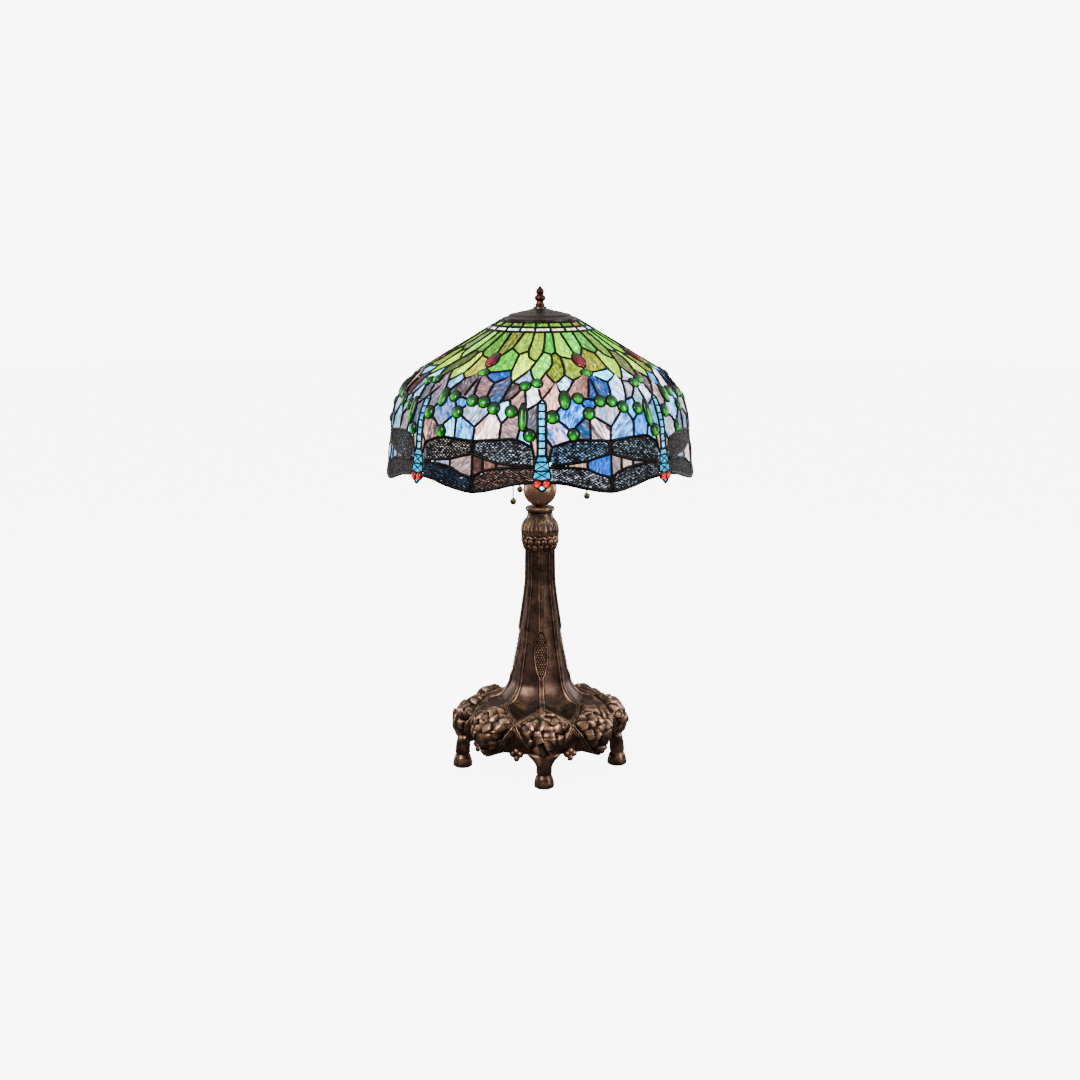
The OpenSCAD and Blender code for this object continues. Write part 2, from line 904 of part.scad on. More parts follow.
module socket_liners() {
    color([0.35, 0.25, 0.18])
        along_socket()
            difference() {
                translate([0, 0, 18.2])
                    cylinder(r = 17.1, h = 40);
                translate([0, 0, 17])
                    cylinder(r = 16.4, h = 50);
                translate([0, 0, 26.5])
                    rotate([90, 0, 0])
                        cylinder(r = 4.5, h = 40);
            }
}

// Phenolic body with the switch and the threaded sleeve for the lamp base.
module socket_cores() {
    color([0.10, 0.10, 0.10])
        along_socket()
            difference() {
                translate([0, 0, 8])
                    cylinder(r = 13.5, h = 48);
                translate([0, 0, 28])
                    cylinder(r = 13, h = 40);
            }
}

module chain_guides() {
    color(brass)
        each_socket()
            translate([0, -chain_r, 0])
                difference() {
                    translate([0, 0, 537.5])
                        cylinder(r1 = 4, r2 = 3.4, h = 7);
                    translate([0, 0, 530])
                        cylinder(r = bead_d / 2 + fit, h = 30);
                }
}

module bulb_bases() {
    color([0.75, 0.75, 0.72])
        along_socket()
            union() {
                translate([0, 0, 33])
                    cylinder(r = 12.6, h = 22);
                translate([0, 0, 29])
                    cylinder(r1 = 5, r2 = 11, h = 4);
            }
}

module bulb_glass() {
    color([1.0, 0.97, 0.90])
        along_socket()
            difference() {
                union() {
                    translate([0, 0, 55 + eps])
                        cylinder(r1 = 12.4, r2 = 14, h = 8);
                    translate([0, 0, 63])
                        cylinder(r1 = 14, r2 = 22.6, h = 20);
                    translate([0, 0, 91])
                        sphere(r = 24);
                }
                translate([0, 0, 55])
                    cylinder(r1 = 11.4, r2 = 12.6, h = 8);
                translate([0, 0, 62.9])
                    cylinder(r1 = 12.6, r2 = 21, h = 20);
                translate([0, 0, 91])
                    sphere(r = 22.8);
            }
}

module bulb_filaments() {
    color([0.9, 0.8, 0.5])
        along_socket() {
            translate([0, 0, 55 + eps])
                cylinder(r = 5, h = 12);
            for (x = [-4, 4])
                translate([x, 0, 66])
                    cylinder(r = 0.6, h = 22);
            translate([0, 0, 87])
                rotate([0, 90, 0])
                    cylinder(r = 0.8, h = 12, center = true);
        }
}

// ---------- Shade carrier ----------

module riser_pipe() {
    color(brass)
        translate([0, 0, 560.5])
            difference() {
                cylinder(r = rod_r, h = pipe_top - 560.5);
                translate([0, 0, -1])
                    cylinder(r = 3.5, h = 250);
            }
}

module support_nut() {
    color(brass)
        translate([0, 0, 752])
            difference() {
                cylinder(r = 10, h = 5, $fn = 6);
                translate([0, 0, -1])
                    cylinder(r = rod_r + eps, h = 8);
            }
}

module shade_support() {
    color(brass)
        translate([0, 0, 757 + eps])
            difference() {
                union() {
                    cylinder(r = 12, h = 5);
                    difference() {
                        cylinder(r = 60, h = 4.5);
                        translate([0, 0, -1])
                            cylinder(r = 52, h = 8);
                    }
                    each_of(3)
                        translate([-5, -56, 0.5])
                            cube([10, 48, 3.5]);
                }
                translate([0, 0, -1])
                    cylinder(r = rod_r + eps, h = 8);
            }
}

// ---------- Pull chains ----------

module pull_chain(k) {
    top_z = 548.5;
    length = top_z - ball_z - chain_ball_d / 2;
    beads = floor(length / bead_pitch);
    color(brass)
        rotate([0, 0, socket_turn + k * 120])
            translate([0, -chain_r, 0])
                rotate_extrude()
                    polygon(concat([[0, top_z + 1]],
                        [for (b = [0:beads - 1], t = [60:-30:-60])
                            [0.4 + (bead_d / 2 - 0.4) * cos(t) , top_z - 1 - b * bead_pitch + bead_d / 2 * sin(t)]],
                        [[0.4, ball_z + chain_ball_d / 2 + eps], [0, ball_z + chain_ball_d / 2 + eps]]));
}

module chain_ball(k) {
    color([0.40, 0.32, 0.22])
        rotate([0, 0, socket_turn + k * 120])
            translate([0, -chain_r, ball_z])
                sphere(d = chain_ball_d);
}

module pull_chain_1() {
    pull_chain(0);
}

module pull_chain_2() {
    pull_chain(1);
}

module pull_chain_3() {
    pull_chain(2);
}

module chain_ball_1() {
    chain_ball(0);
}

module chain_ball_2() {
    chain_ball(1);
}

module chain_ball_3() {
    chain_ball(2);
}

foot_pads();
base_casting();
base_lobes();
base_legs();
base_drops();
cord_bushing();
bottom_washer();
bottom_nut();
center_rod();
stem_casting();
stem_capital();
neck_ring();
neck_ball();
cluster_body();
socket_arms();
socket_caps();
socket_shells();
socket_liners();
socket_cores();
chain_guides();
bulb_bases();
bulb_glass();
bulb_filaments();
riser_pipe();
support_nut();
shade_support();
shade_top_ring();
crown_glass();
band_glass();
upper_leaf_glass();
lower_leaf_glass();
upper_mosaic_glass();
lower_mosaic_glass();
spandrel_glass();
upper_wing_glass();
lower_wing_glass();
tail_glass();
thorax_glass();
crown_lead();
leaf_lead();
mosaic_lead();
wing_lead();
body_lead();
jewel_rings();
ruby_jewels();
round_jewels();
oval_jewels();
eye_jewels();
wing_filigree();
rim_wire();
heat_cap();
finial();
pull_chain_1();
pull_chain_2();
pull_chain_3();
chain_ball_1();
chain_ball_2();
chain_ball_3();
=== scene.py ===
import json
import math

import bpy
import numpy as np
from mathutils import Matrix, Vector

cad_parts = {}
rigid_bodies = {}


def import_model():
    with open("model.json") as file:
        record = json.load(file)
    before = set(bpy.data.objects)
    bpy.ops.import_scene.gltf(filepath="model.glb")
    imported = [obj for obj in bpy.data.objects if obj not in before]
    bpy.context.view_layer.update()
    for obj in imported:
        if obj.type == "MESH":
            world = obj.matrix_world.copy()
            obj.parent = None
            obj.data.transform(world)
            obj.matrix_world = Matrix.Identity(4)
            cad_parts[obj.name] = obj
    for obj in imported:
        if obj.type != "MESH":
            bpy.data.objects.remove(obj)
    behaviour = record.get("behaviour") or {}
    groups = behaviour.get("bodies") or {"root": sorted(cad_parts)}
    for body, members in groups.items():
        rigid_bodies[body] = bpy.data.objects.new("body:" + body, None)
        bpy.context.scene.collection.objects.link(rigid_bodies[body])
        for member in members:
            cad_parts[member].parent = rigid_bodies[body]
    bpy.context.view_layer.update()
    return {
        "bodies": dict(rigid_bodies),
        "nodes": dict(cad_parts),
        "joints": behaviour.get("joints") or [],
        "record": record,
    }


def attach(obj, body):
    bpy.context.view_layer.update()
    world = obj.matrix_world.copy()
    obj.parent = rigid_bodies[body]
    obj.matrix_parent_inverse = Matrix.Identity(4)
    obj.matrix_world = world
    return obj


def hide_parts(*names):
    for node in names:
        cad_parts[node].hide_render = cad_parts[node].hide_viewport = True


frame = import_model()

MM = 0.001
rng = np.random.default_rng(7)

# ---------------------------------------------------------------------------
# Meshes. Everything is worked out in millimetres and stored in metres.
# ---------------------------------------------------------------------------


class Piece:
    """Collects closed solids that become one mesh, with values kept at each vertex."""

    def __init__(self):
        self.verts, self.faces, self.values = [], [], {}
        self.count = 0

    def add(self, verts, faces, **values):
        verts = np.asarray(verts, float).reshape(-1, 3)
        self.verts.append(verts)
        self.faces += [tuple(int(i) + self.count for i in f) for f in faces]
        for name, value in values.items():
            value = np.asarray(value, float)
            if value.ndim == 0:
                value = np.full(len(verts), float(value))
            elif value.ndim == 1 and len(value) != len(verts):
                value = np.tile(value, (len(verts), 1))
            self.values.setdefault(name, []).append(value)
        self.count += len(verts)

    def build(self, name, material, body, slot, replaces, smooth=True):
        """Makes the mesh, which rides on a body and stands in for the CAD nodes that it replaces."""
        mesh = bpy.data.meshes.new(name)
        mesh.from_pydata((np.concatenate(self.verts) * MM).tolist(), [], self.faces)
        for key, parts in self.values.items():
            data = np.concatenate(parts).astype(np.float32)
            kind, field = ("FLOAT", "value") if data.ndim == 1 else ("FLOAT_VECTOR", "vector")
            mesh.attributes.new(key, kind, "POINT").data.foreach_set(field, data.ravel())
        mesh.polygons.foreach_set("use_smooth", [smooth] * len(mesh.polygons))
        mesh.materials.append(material)
        mesh.update()
        obj = bpy.data.objects.new(name, mesh)
        bpy.context.scene.collection.objects.link(obj)
        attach(obj, body)
        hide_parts(*replaces)


def grid_faces(rows, columns, wrap=True, ends="open"):
    """Quads of a grid of vertices. wrap joins its sides; its ends can be open, capped or joined."""
    faces = []
    last = (rows - 1) * columns
    for start in range(0, last, columns):
        for c in range(columns if wrap else columns - 1):
            d = (c + 1) % columns
            faces.append((start + c, start + d, start + columns + d, start + columns + c))
    if ends == "capped":
        faces += [tuple(range(columns))[::-1], tuple(range(last, last + columns))]
    if ends == "joined":
        faces += [(last + c, last + (c + 1) % columns, (c + 1) % columns, c) for c in range(columns)]
    return faces


def tube(piece, path, across, out, wide, high, sides=8, closed=False, **values):
    """Sweeps an oval section along path. across and out are the section's directions at each point."""
    n = len(path)
    angle = np.linspace(0, 2 * math.pi, sides, endpoint=False)
    wide = np.broadcast_to(wide, n)[:, None, None]
    high = np.broadcast_to(high, n)[:, None, None]
    ring = (path[:, None] + across[:, None] * np.cos(angle)[None, :, None] * wide
            + out[:, None] * np.sin(angle)[None, :, None] * high)
    piece.add(ring, grid_faces(n, sides, ends="joined" if closed else "capped"), **values)


def unit(v):
    return v / np.maximum(np.linalg.norm(v, axis=-1, keepdims=True), 1e-9)


def path_tangent(path, closed=False):
    if closed:
        return unit(np.roll(path, -1, 0) - np.roll(path, 1, 0))
    return unit(np.gradient(path, axis=0))


def ball(piece, centre, axes, frame3=np.eye(3), rows=9, columns=14, **values):
    """An ellipsoid whose half axes are axes along the rows of frame3."""
    lat = np.linspace(-math.pi / 2, math.pi / 2, rows + 2)[1:-1]
    lon = np.linspace(0, 2 * math.pi, columns, endpoint=False)
    shell = np.stack([np.outer(np.cos(lat), np.cos(lon)), np.outer(np.cos(lat), np.sin(lon)),
                      np.repeat(np.sin(lat)[:, None], columns, 1)], -1).reshape(-1, 3)
    verts = np.concatenate([shell, [[0, 0, -1], [0, 0, 1]]])
    verts = np.asarray(centre) + (verts * np.asarray(axes)) @ frame3
    south, north, top = rows * columns, rows * columns + 1, (rows - 1) * columns
    faces = grid_faces(rows, columns)
    faces += [(south, (c + 1) % columns, c) for c in range(columns)]
    faces += [(north, top + c, top + (c + 1) % columns) for c in range(columns)]
    piece.add(verts, faces, **values)


# ---------------------------------------------------------------------------
# Shape of the shade, as in the CAD
# ---------------------------------------------------------------------------

SECTORS = 7
SECTOR = 360 / SECTORS
SHADE_TURN = -2.3
KNEE_R, KNEE_Z, CONE_FALL, SHOULDER_ARC, WALL_Z = 192.0, 688.0, math.radians(31.2), 116.0, 598.0
RIM_R, RIM_Z = 256.0, 511.0
ARC_R0 = KNEE_R - SHOULDER_ARC * math.sin(CONE_FALL)
ARC_Z0 = KNEE_Z - SHOULDER_ARC * math.cos(CONE_FALL)
WALL_R = ARC_R0 + math.sqrt(SHOULDER_ARC ** 2 - (WALL_Z - ARC_Z0) ** 2)
GLASS_T = 3.0
LEAD_HALF, BODY_LEAD_HALF = 2.35, 1.5


def shade_r(z):
    """Outer radius of the shade at a height."""
    z = np.asarray(z, float)
    cone = KNEE_R - (z - KNEE_Z) / math.tan(CONE_FALL)
    arc = ARC_R0 + np.sqrt(np.clip(SHOULDER_ARC ** 2 - (z - ARC_Z0) ** 2, 0, None))
    wall = WALL_R + (RIM_R - WALL_R) * (WALL_Z - z) / (WALL_Z - RIM_Z)
    return np.where(z >= KNEE_Z, cone, np.where(z >= WALL_Z, arc, wall))


def normal_rise(z):
    """Angle of the shade's normal above the level at a height."""
    z = np.asarray(z, float)
    arc = np.arcsin(np.clip((z - ARC_Z0) / SHOULDER_ARC, -1, 1))
    wall = math.atan((RIM_R - WALL_R) / (WALL_Z - RIM_Z))
    return np.where(z >= KNEE_Z, math.pi / 2 - CONE_FALL, np.where(z >= WALL_Z, arc, wall))


def on_shade(uz, lift=0.0):
    """Points of the shade from (turn from the front in degrees, height), lifted along the normal."""
    uz = np.asarray(uz, float)
    u, r = np.radians(uz[..., 0]), shade_r(uz[..., 1])
    at = np.stack([r * np.sin(u), -r * np.cos(u), uz[..., 1]], -1)
    return at + np.asarray(lift)[..., None] * outwards(uz)


def outwards(uz):
    """Normal of the shade."""
    u, t = np.radians(uz[..., 0]), normal_rise(uz[..., 1])
    return np.stack([np.sin(u) * np.cos(t), -np.cos(u) * np.cos(t), np.sin(t)], -1)


def along(uz):
    """Level direction round the shade."""
    u = np.radians(uz[..., 0])
    return np.stack([np.cos(u), np.sin(u), 0 * u], -1)


def shade_axes(uz):
    """Directions round the shade, up its slope and outwards."""
    uz = np.asarray(uz, float)
    return np.stack([along(uz), np.cross(outwards(uz), along(uz)), outwards(uz)])


# ---------------------------------------------------------------------------
# Pattern of one sector: corners, panes, jewels and the colours of their glass
# ---------------------------------------------------------------------------

NEXT = 200  # corner numbers from here on belong to the next sector
CORNERS = [
    (-29, 709), (-29, 691), (-28, 651), (-23, 650), (-18.5, 641), (-7, 674), (-2, 678),
    (-11.5, 637), (-7, 629), (-4.5, 601), (4, 629), (9, 654), (14.5, 656), (18, 633), (11.5, 602),
    (-20.5, 727), (-14, 718), (-8.5, 723), (-7, 714), (-3, 708), (1.5, 722), (6.5, 718),
    (9.5, 721), (12, 715),
    (-31, 750), (-17, 750), (-6, 750), (4.5, 750), (12, 750),
    (-15, 696), (-13, 679), (-5.5, 698), (6, 705), (2, 692), (-4.5, 689), (12, 700), (11, 689),
    (6, 678), (14.5, 682),
    (0, 655), (-14.5, 687), (-21, 678), (-16, 651), (-12.5, 654), (-6, 648), (11, 668),
    (18.5, 655),
    (-1.5, 570), (-5, 641), (-1.5, 649), (-1.5, 604), (-2.5, 566), (-3.5, 582), (-9, 594),
    (-15, 619), (-13, 627), (-15.5, 594), (-25.2, 612), (-25.7, 590), (18, 592), (12.5, 614),
    (8.5, 616), (3.7, 583), (1.5, 597), (1.5, 629), (1.5, 649), (2.5, 566), (11.5, 593),
    (-3, 553.5), (-10, 554.5), (-16.5, 558), (-21.5, 564), (-25.7, 570),
    (-3, 551), (-10, 550.5), (-16.5, 548.5), (-21.5, 543.5), (-25.7, 533),
    (-25.7, 511), (-21, 513.5), (-15, 520), (-10, 526), (-3, 529.5),
    (3, 553.5), (10, 556.5), (16.5, 560), (21, 565.5),
    (3, 551), (10, 550.5), (16.5, 547), (21, 538),
    (3, 529.5), (9, 526), (14, 520), (21, 513.5),
    (1.5, 570), (-2.4, 560), (2.4, 560), (-2.8, 546), (2.8, 546), (-2.8, 533), (2.8, 533),
    (-1.8, 523), (1.8, 523), (0, 515),
]
# Width and length of the jewel on each of the first corners.
JEWELS = [(19, 38), (18.5, 18.5), (18.5, 18.5), (18.5, 18.5), (18.5, 18.5), (17.5, 17.5), (17.5, 17.5),
          (18.5, 18.5), (13, 44), (18, 18), (20, 20), (17, 32), (17.5, 17.5), (18.5, 18.5), (18, 18)]
JEWEL_NODES = {"ruby_jewels": [0], "oval_jewels": [8, 11],
               "round_jewels": [1, 2, 3, 4, 5, 6, 7, 9, 10, 12, 13, 14]}
EYES = [(-1.55, 526.5), (1.55, 526.5)]
EYE_D = 12.0

PANES = {
    "upper_leaf_glass": [(24, 25, 15, 0), (25, 26, 17, 16, 15), (26, 27, 20, 19, 18, 17),
                         (27, 28, 22, 21, 20), (28, 224, 200, 23, 22)],
    "lower_leaf_glass": [(0, 15, 16, 29, 1), (16, 17, 18, 19, 31, 30, 40, 29),
                         (19, 20, 21, 32, 33, 6, 34, 31), (21, 22, 23, 35, 36, 37, 33, 32),
                         (23, 200, 201, 38, 36, 35)],
    "upper_mosaic_glass": [(29, 40, 41, 1), (41, 40, 30, 42, 4, 3), (1, 41, 3, 2), (30, 31, 34, 6, 5),
                           (33, 37, 39, 6), (37, 36, 38, 45, 11), (11, 45, 38, 201, 46, 12),
                           (201, 202, 46), (30, 5, 43, 42)],
    "lower_mosaic_glass": [(5, 44, 8, 7, 43), (5, 6, 39, 49, 48, 8, 44), (48, 49, 50, 9, 8),
                           (9, 50, 47, 51, 52), (53, 8, 9, 52), (54, 55, 7, 8, 53, 56),
                           (4, 42, 43, 7, 55, 54), (57, 4, 54, 56, 58), (13, 202, 203, 204, 257),
                           (13, 257, 258, 59), (60, 13, 59, 67, 14), (11, 12, 13, 60, 14, 61, 10),
                           (12, 46, 202, 13), (64, 10, 61, 14, 67, 62, 63),
                           (39, 37, 11, 10, 64, 65), (63, 62, 66, 95)],
    "spandrel_glass": [(69, 70, 75, 74), (70, 71, 76, 75), (71, 72, 77, 76), (84, 85, 89, 88),
                       (85, 86, 272, 277, 90, 89)],
    "thorax_glass": [(47, 95, 97, 96), (96, 97, 99, 98), (98, 99, 101, 100), (102, 103, 104)],
}
# Each wing runs from the body to its tip: node, corners of its upper edge, corners of its lower edge.
WINGS = [
    ("upper_wing_glass", (52, 53, 56, 58), (68, 69, 70, 71, 72)),
    ("lower_wing_glass", (73, 74, 75, 76, 77), (82, 81, 80, 79, 78)),
    ("upper_wing_glass", (62, 67, 59, 258), (83, 84, 85, 86, 272)),
    ("lower_wing_glass", (87, 88, 89, 90, 277), (91, 92, 93, 94, 278)),
]
TAIL_TOP, TAIL_BOTTOM, TAIL_PANES, TAIL_HALF = 655.0, 570.0, 7, 1.5
RIM_LINE = (78, 79, 80, 81, 82, 102, 104, 103, 91, 92, 93, 94, 278)

# sRGB colours of the two streaks of each pane: a row for the sector left of the front one, one for the front
# one and one for the sector to its right. A row that is shorter than its panes starts again.
COLOURS = {
    "crown_glass": [
        "98c850 6c9c34, a4c454 7c9848, 9ccc58 74ac40",
        "9cd458 80c044, a8d45c 8cb444, 84b048 90c454",
        "c4a458 a88c48, 88d860 60c048, b4cc78 90b858",
    ],
    "band_glass": [
        "f4f4ec e0e4e4, ecf2f2 d4e0e8, f0f0e4 e4e0d4",
        "eceae8 dcdce4, ece8dc dcd4c4, f0ece0 e0dccc",
        "f0f0e4 e4e0d4, c8e4ec a8d0e0, f0eee4 e0dccc",
    ],
    "upper_leaf_glass": [
        "a4c454 7c9c3c, 98a474 70805c, bcdc84 98c464, 8cbc4c 6c9c3c, 7cb43c 5c9430",
        "a8a03c 70782c, b4c854 90a840, c4cc48 a4b83c, 50bc40 6ccc50, c0dc6c 9ccc54",
        "90dc70 74c858, 74c058 4c9440, 98b04c 748c3c, 84dc70 5cbc48, bcd068 9cbc54",
    ],
    "lower_leaf_glass": [
        "a4bc50 84983c, d8e468 b0c848, 747c3c 545c2c, d8e474 b4c858, d0c864 a8a848",
        "54c43c 90cc40, e4e880 c8d868, b4e484 94d468, a8b024 808c24, b0bc40 98a43c",
        "b8b044 90903c, ccdc68 b0cc58, 848450 6c703c, d8e088 b8cc68, a4a84c 848c40",
    ],
    "upper_mosaic_glass": [
        "d4e4f8 b8ccec, 8c5058 6c3c48, dcc4bc b89c98, e8f0fc c8dcf4, b89cac 9c88a4, dce4f4 a8b4d4, "
        "9c8890 7c6474, b0a0ac 8c7c90, c0b0c4 a89cb8",
        "4aa8f0 3c8ce0, 6c84c0 8c6c80, cca09c a8849c, c4bcd8 dcd4ec, dcac9c e8ccc4, ecf0fc c8b4d4, "
        "d8b4ac bc948c, 5c7cd0 6c74ac, 7c5464 9c7c88",
        "dcf0fc c0e0f8, d4d4ec f0ecf8, 5c7cd4 7c8cc8, f0ecf8 d0c4dc, 8c6c80 b090a0, 5cb4f0 b0d8f4, "
        "f4f0f4 d8d0e0, ccbcc8 b0a4b8, d8ccd8 b8b0c8",
    ],
    "lower_mosaic_glass": [
        "ccd4e8 a8b4d0, 8c8498 6c6478, 9c94b4 7c7494, d8bcac e0d4cc, e4e8f4 c8d4ec, 8c7c8c b8a0a4, "
        "c4ccdc a8b0c8, a8b8d0 c4ccdc, e4dce8 b8b8d0, 68a8ec c8dcf0, e0ecf8 a8c4e8, 50a8f0 c0bccc, "
        "58b0ec 80c8f4, 7c707c e8ccc4, 94849c bca8b8, e8b4a0 d89c8c",
        "e4c4bc c8aca8, f8f2f4 e8e0ec, 9c8ca4 84707c, e8ccbc d0b4a8, d8e8f8 c0d4ec, d4b4b4 a89098, "
        "e8f0f8 ccdcf0, f8f0f0 dcc0c0, e0d4dc c4c8e0, f0e8ec 8c6880, 4c80c8 94809c, 48a8f4 b4dcf8, "
        "50b0f0 38a0e8, ece0ec 70a4e0, f0dcd8 e8ccc8, a8889c c8b0a8",
        "b8c8dc d8d0dc, f0ecf4 c8bccc, 58a8e8 a8c8e4, d8b8a4 e8d0c0, d4e0f0 b8c8e4, 5cb0f0 98d0f8, "
        "8cc0ec c0dcf4, d8e0f0 7cb0ec, e8dce0 c0b4c4, 9c90b0 c4b8d0, 8c7c94 5c80b8, dce4f4 90a8d0, "
        "a8c4e4 c8d8ec, e0d8e0 98a8d0, b89ca8 d8c8d0, e8c8b0 c8a498",
    ],
    "spandrel_glass": [
        "988c94 746c7c, a0a8c0 c0c0d0, 5898d0 90b4d8, a8a8c4 c4bccc, c8b0b0 a89094",
        "947c80 78646c, b08070 94685c, 7c5048 5c3c38, dcc8b4 c0a898, 3cb0f4 2c98ec",
        "c4b4b4 a09094, dcccc8 c8b4b0, c0a8a8 a08c90, 94a4c4 b0bcd4, dcc8c0 e4d8d4",
    ],
    "thorax_glass": [
        "50c4e4 3cb4d8",
        "48c4e4 38b4dc, 3cbce0 58cce8, 34b4dc 50c4e4, a8dcf0 c8ecf8",
        "50c4e4 3cb4d8",
    ],
    "tail_glass": [
        "a0d4ec 80c0e4",
        "b4dcf0 90c8e8",
        "a0d4ec 80c0e4",
    ],
    "wings": [
        "8c8ca4 c4bccc, 807470 a09088, a89ca0 ccc0c4, 485c94 7484b0",
        "a09cac d0ccd8, a07464 c09888, 7c88ac b8bcd4, a09cac d8d4dc",
        "848ca0 bcc0cc, 8c8ca0 c4c0cc, a0847c c0a49c, 74686c 988c90",
    ],
}


def linear(code):
    """Linear RGB of an sRGB hex colour, or of a colour that is linear already."""
    if not isinstance(code, str):
        return np.array(code)
    c = np.array([int(code[i:i + 2], 16) for i in (0, 2, 4)]) / 255
    return np.where(c <= 0.04045, c / 12.92, ((c + 0.055) / 1.055) ** 2.4)


# The view transform, AgX, first mixes the channels a little and then bends their logarithm.
CHANNEL_MIX = np.array([[0.8425, 0.0784, 0.0792], [0.0423, 0.8785, 0.0792], [0.0424, 0.0784, 0.8791]])
CURVE = np.polynomial.Polynomial([-0.00232, 0.1191, 0.4298, -6.868, 31.96, -40.14, 15.5])
CURVE_STOPS, CURVE_LOWEST = 16.5, -12.474


def light_for(code):
    """Linear light that the view transform shows as an sRGB hex colour, as far as it can."""
    shown = CHANNEL_MIX @ [int(code[i:i + 2], 16) / 255 for i in (0, 2, 4)]
    steps = np.linspace(0, 1, 200)
    stops = np.interp(shown, CURVE(steps), steps) * CURVE_STOPS + CURVE_LOWEST
    light = np.clip(np.linalg.solve(CHANNEL_MIX, 2.0 ** stops), 0, 6)
    # Strong colours come out too red, and blues too violet and too bright.
    spread = (light.max() - light.min()) / max(light.max(), 1e-6)
    blueness = (int(code[4:6], 16) - int(code[:2], 16)) / 255
    light[0] *= 1 - (0.7 if blueness > 0 else 0.22) * spread
    light[1] *= 1 + (0.35 if light[2] > light[1] else 0) * spread
    return light * (1 - 1.1 * max(0.0, blueness - 0.2))


def streaks(group, number, sector):
    """The hex colours of a pane's two streaks. Sectors at the back repeat one of the three spelled out."""
    row = {SECTORS - 1: 0, 0: 1, 1: 2}.get(sector, int(rng.integers(3)))
    panes = COLOURS[group][row].split(", ")
    return panes[number % len(panes)].split()


def globalise(i, sector):
    """(name of the corner over the whole shade, its turn and height, turned with its sector)."""
    home = (sector + i // NEXT) % SECTORS
    u, z = CORNERS[i % NEXT]
    return (home, i % NEXT), (u + SHADE_TURN + (sector + i // NEXT) * SECTOR, z)


faces = []  # one entry per pane: node, number, sector, names of its corners, their places


def add_face(node, number, sector, names, places):
    faces.append({"node": node, "number": number, "sector": sector, "names": names, "places": places})


for node, outlines in PANES.items():
    for sector in range(SECTORS):
        for number, outline in enumerate(outlines):
            found = [globalise(i, sector) for i in outline]
            add_face(node, number, sector, [f[0] for f in found], [f[1] for f in found])

RING_STEPS = 3 * SECTORS
RING_START = SHADE_TURN - 6
for node, low, high in (("crown_glass", 757, 764), ("band_glass", 750.5, 756.5)):
    for step in range(RING_STEPS):
        ends = [(step, low), (step + 1, low), (step + 1, high), (step, high)]
        add_face(node, step % 3, step // 3, [(node, z, s % RING_STEPS) for s, z in ends],
                 [(RING_START + s * SECTOR / 3, z) for s, z in ends])

tail_z = np.linspace(TAIL_TOP - 6, TAIL_BOTTOM, TAIL_PANES + 1)
for sector in range(SECTORS):
    middle = SHADE_TURN + sector * SECTOR
    side_u = {"left": middle - TAIL_HALF, "right": middle + TAIL_HALF}
    corners = {(side, j): (u, tail_z[j]) for side, u in side_u.items() for j in range(TAIL_PANES + 1)}
    corners["tip"] = (middle, TAIL_TOP)
    outlines = [[("left", 0), ("right", 0), "tip"]]
    outlines += [[("left", i + 1), ("right", i + 1), ("right", i), ("left", i)] for i in range(TAIL_PANES)]
    for number, outline in enumerate(outlines):
        names = [("tail", sector, corner) for corner in outline]
        add_face("tail_glass", number, sector, names, [corners[corner] for corner in outline])

# Lines that stay smooth through their corners.
CHAINS = [w[1] for w in WINGS] + [w[2] for w in WINGS]
chain_next = {}
for sector in range(SECTORS):
    for chain in CHAINS:
        ids = [globalise(i, sector)[0] for i in chain]
        for a, b, c in zip(ids, ids[1:], ids[2:]):
            chain_next[(a, b)] = c
            chain_next[(c, b)] = a


def sides(face):
    """(name, next name, place, next place) along each side of a pane."""
    names, places = face["names"], face["places"]
    return zip(names, names[1:] + names[:1], places, places[1:] + places[:1])


neighbours = {}
for face in faces:
    for a, b, *_ in sides(face):
        neighbours.setdefault(a, set()).add(b)
        neighbours.setdefault(b, set()).add(a)
place_of = {name: place for face in faces for name, place in zip(face["names"], face["places"])}
place_of.update(globalise(i, sector) for i in range(len(CORNERS)) for sector in range(SECTORS))


def is_jewel(name):
    return len(name) == 2 and name[1] < len(JEWELS)


def beyond(a, b, place_a, place_b):
    """Where a line from a goes on after b: round a smooth corner, or straight on."""
    on = chain_next.get((a, b))
    if on is None and len(neighbours.get(b, ())) == 2 and not is_jewel(b):
        on = next(n for n in neighbours[b] if n != a)
    if on is None or is_jewel(on):
        return 2 * place_b - place_a
    u, z = place_of[on]
    return np.array([u - 360 * round((u - place_b[0]) / 360), z])


lines = {}  # the drawn line between two corners, stored once for both panes


def line_between(a, b, place_a, place_b):
    """The drawn line from corner a to corner b, turned to where this pane counts its turns from."""
    known = lines[(b, a)][::-1] if (b, a) in lines else lines.get((a, b))
    if known is None:
        p1, p2 = np.array(place_a, float), np.array(place_b, float)
        p0, p3 = beyond(b, a, p2, p1), beyond(a, b, p1, p2)
        t = np.linspace(0, 1, 7)[:, None]
        known = 0.5 * (2 * p1 + (p2 - p0) * t + (2 * p0 - 5 * p1 + 4 * p2 - p3) * t ** 2
                       + (3 * p1 - p0 - 3 * p2 + p3) * t ** 3)
        lines[(a, b)] = known
    return known + [360 * round((place_a[0] - known[0, 0]) / 360), 0]


# ---------------------------------------------------------------------------
# Materials
# ---------------------------------------------------------------------------


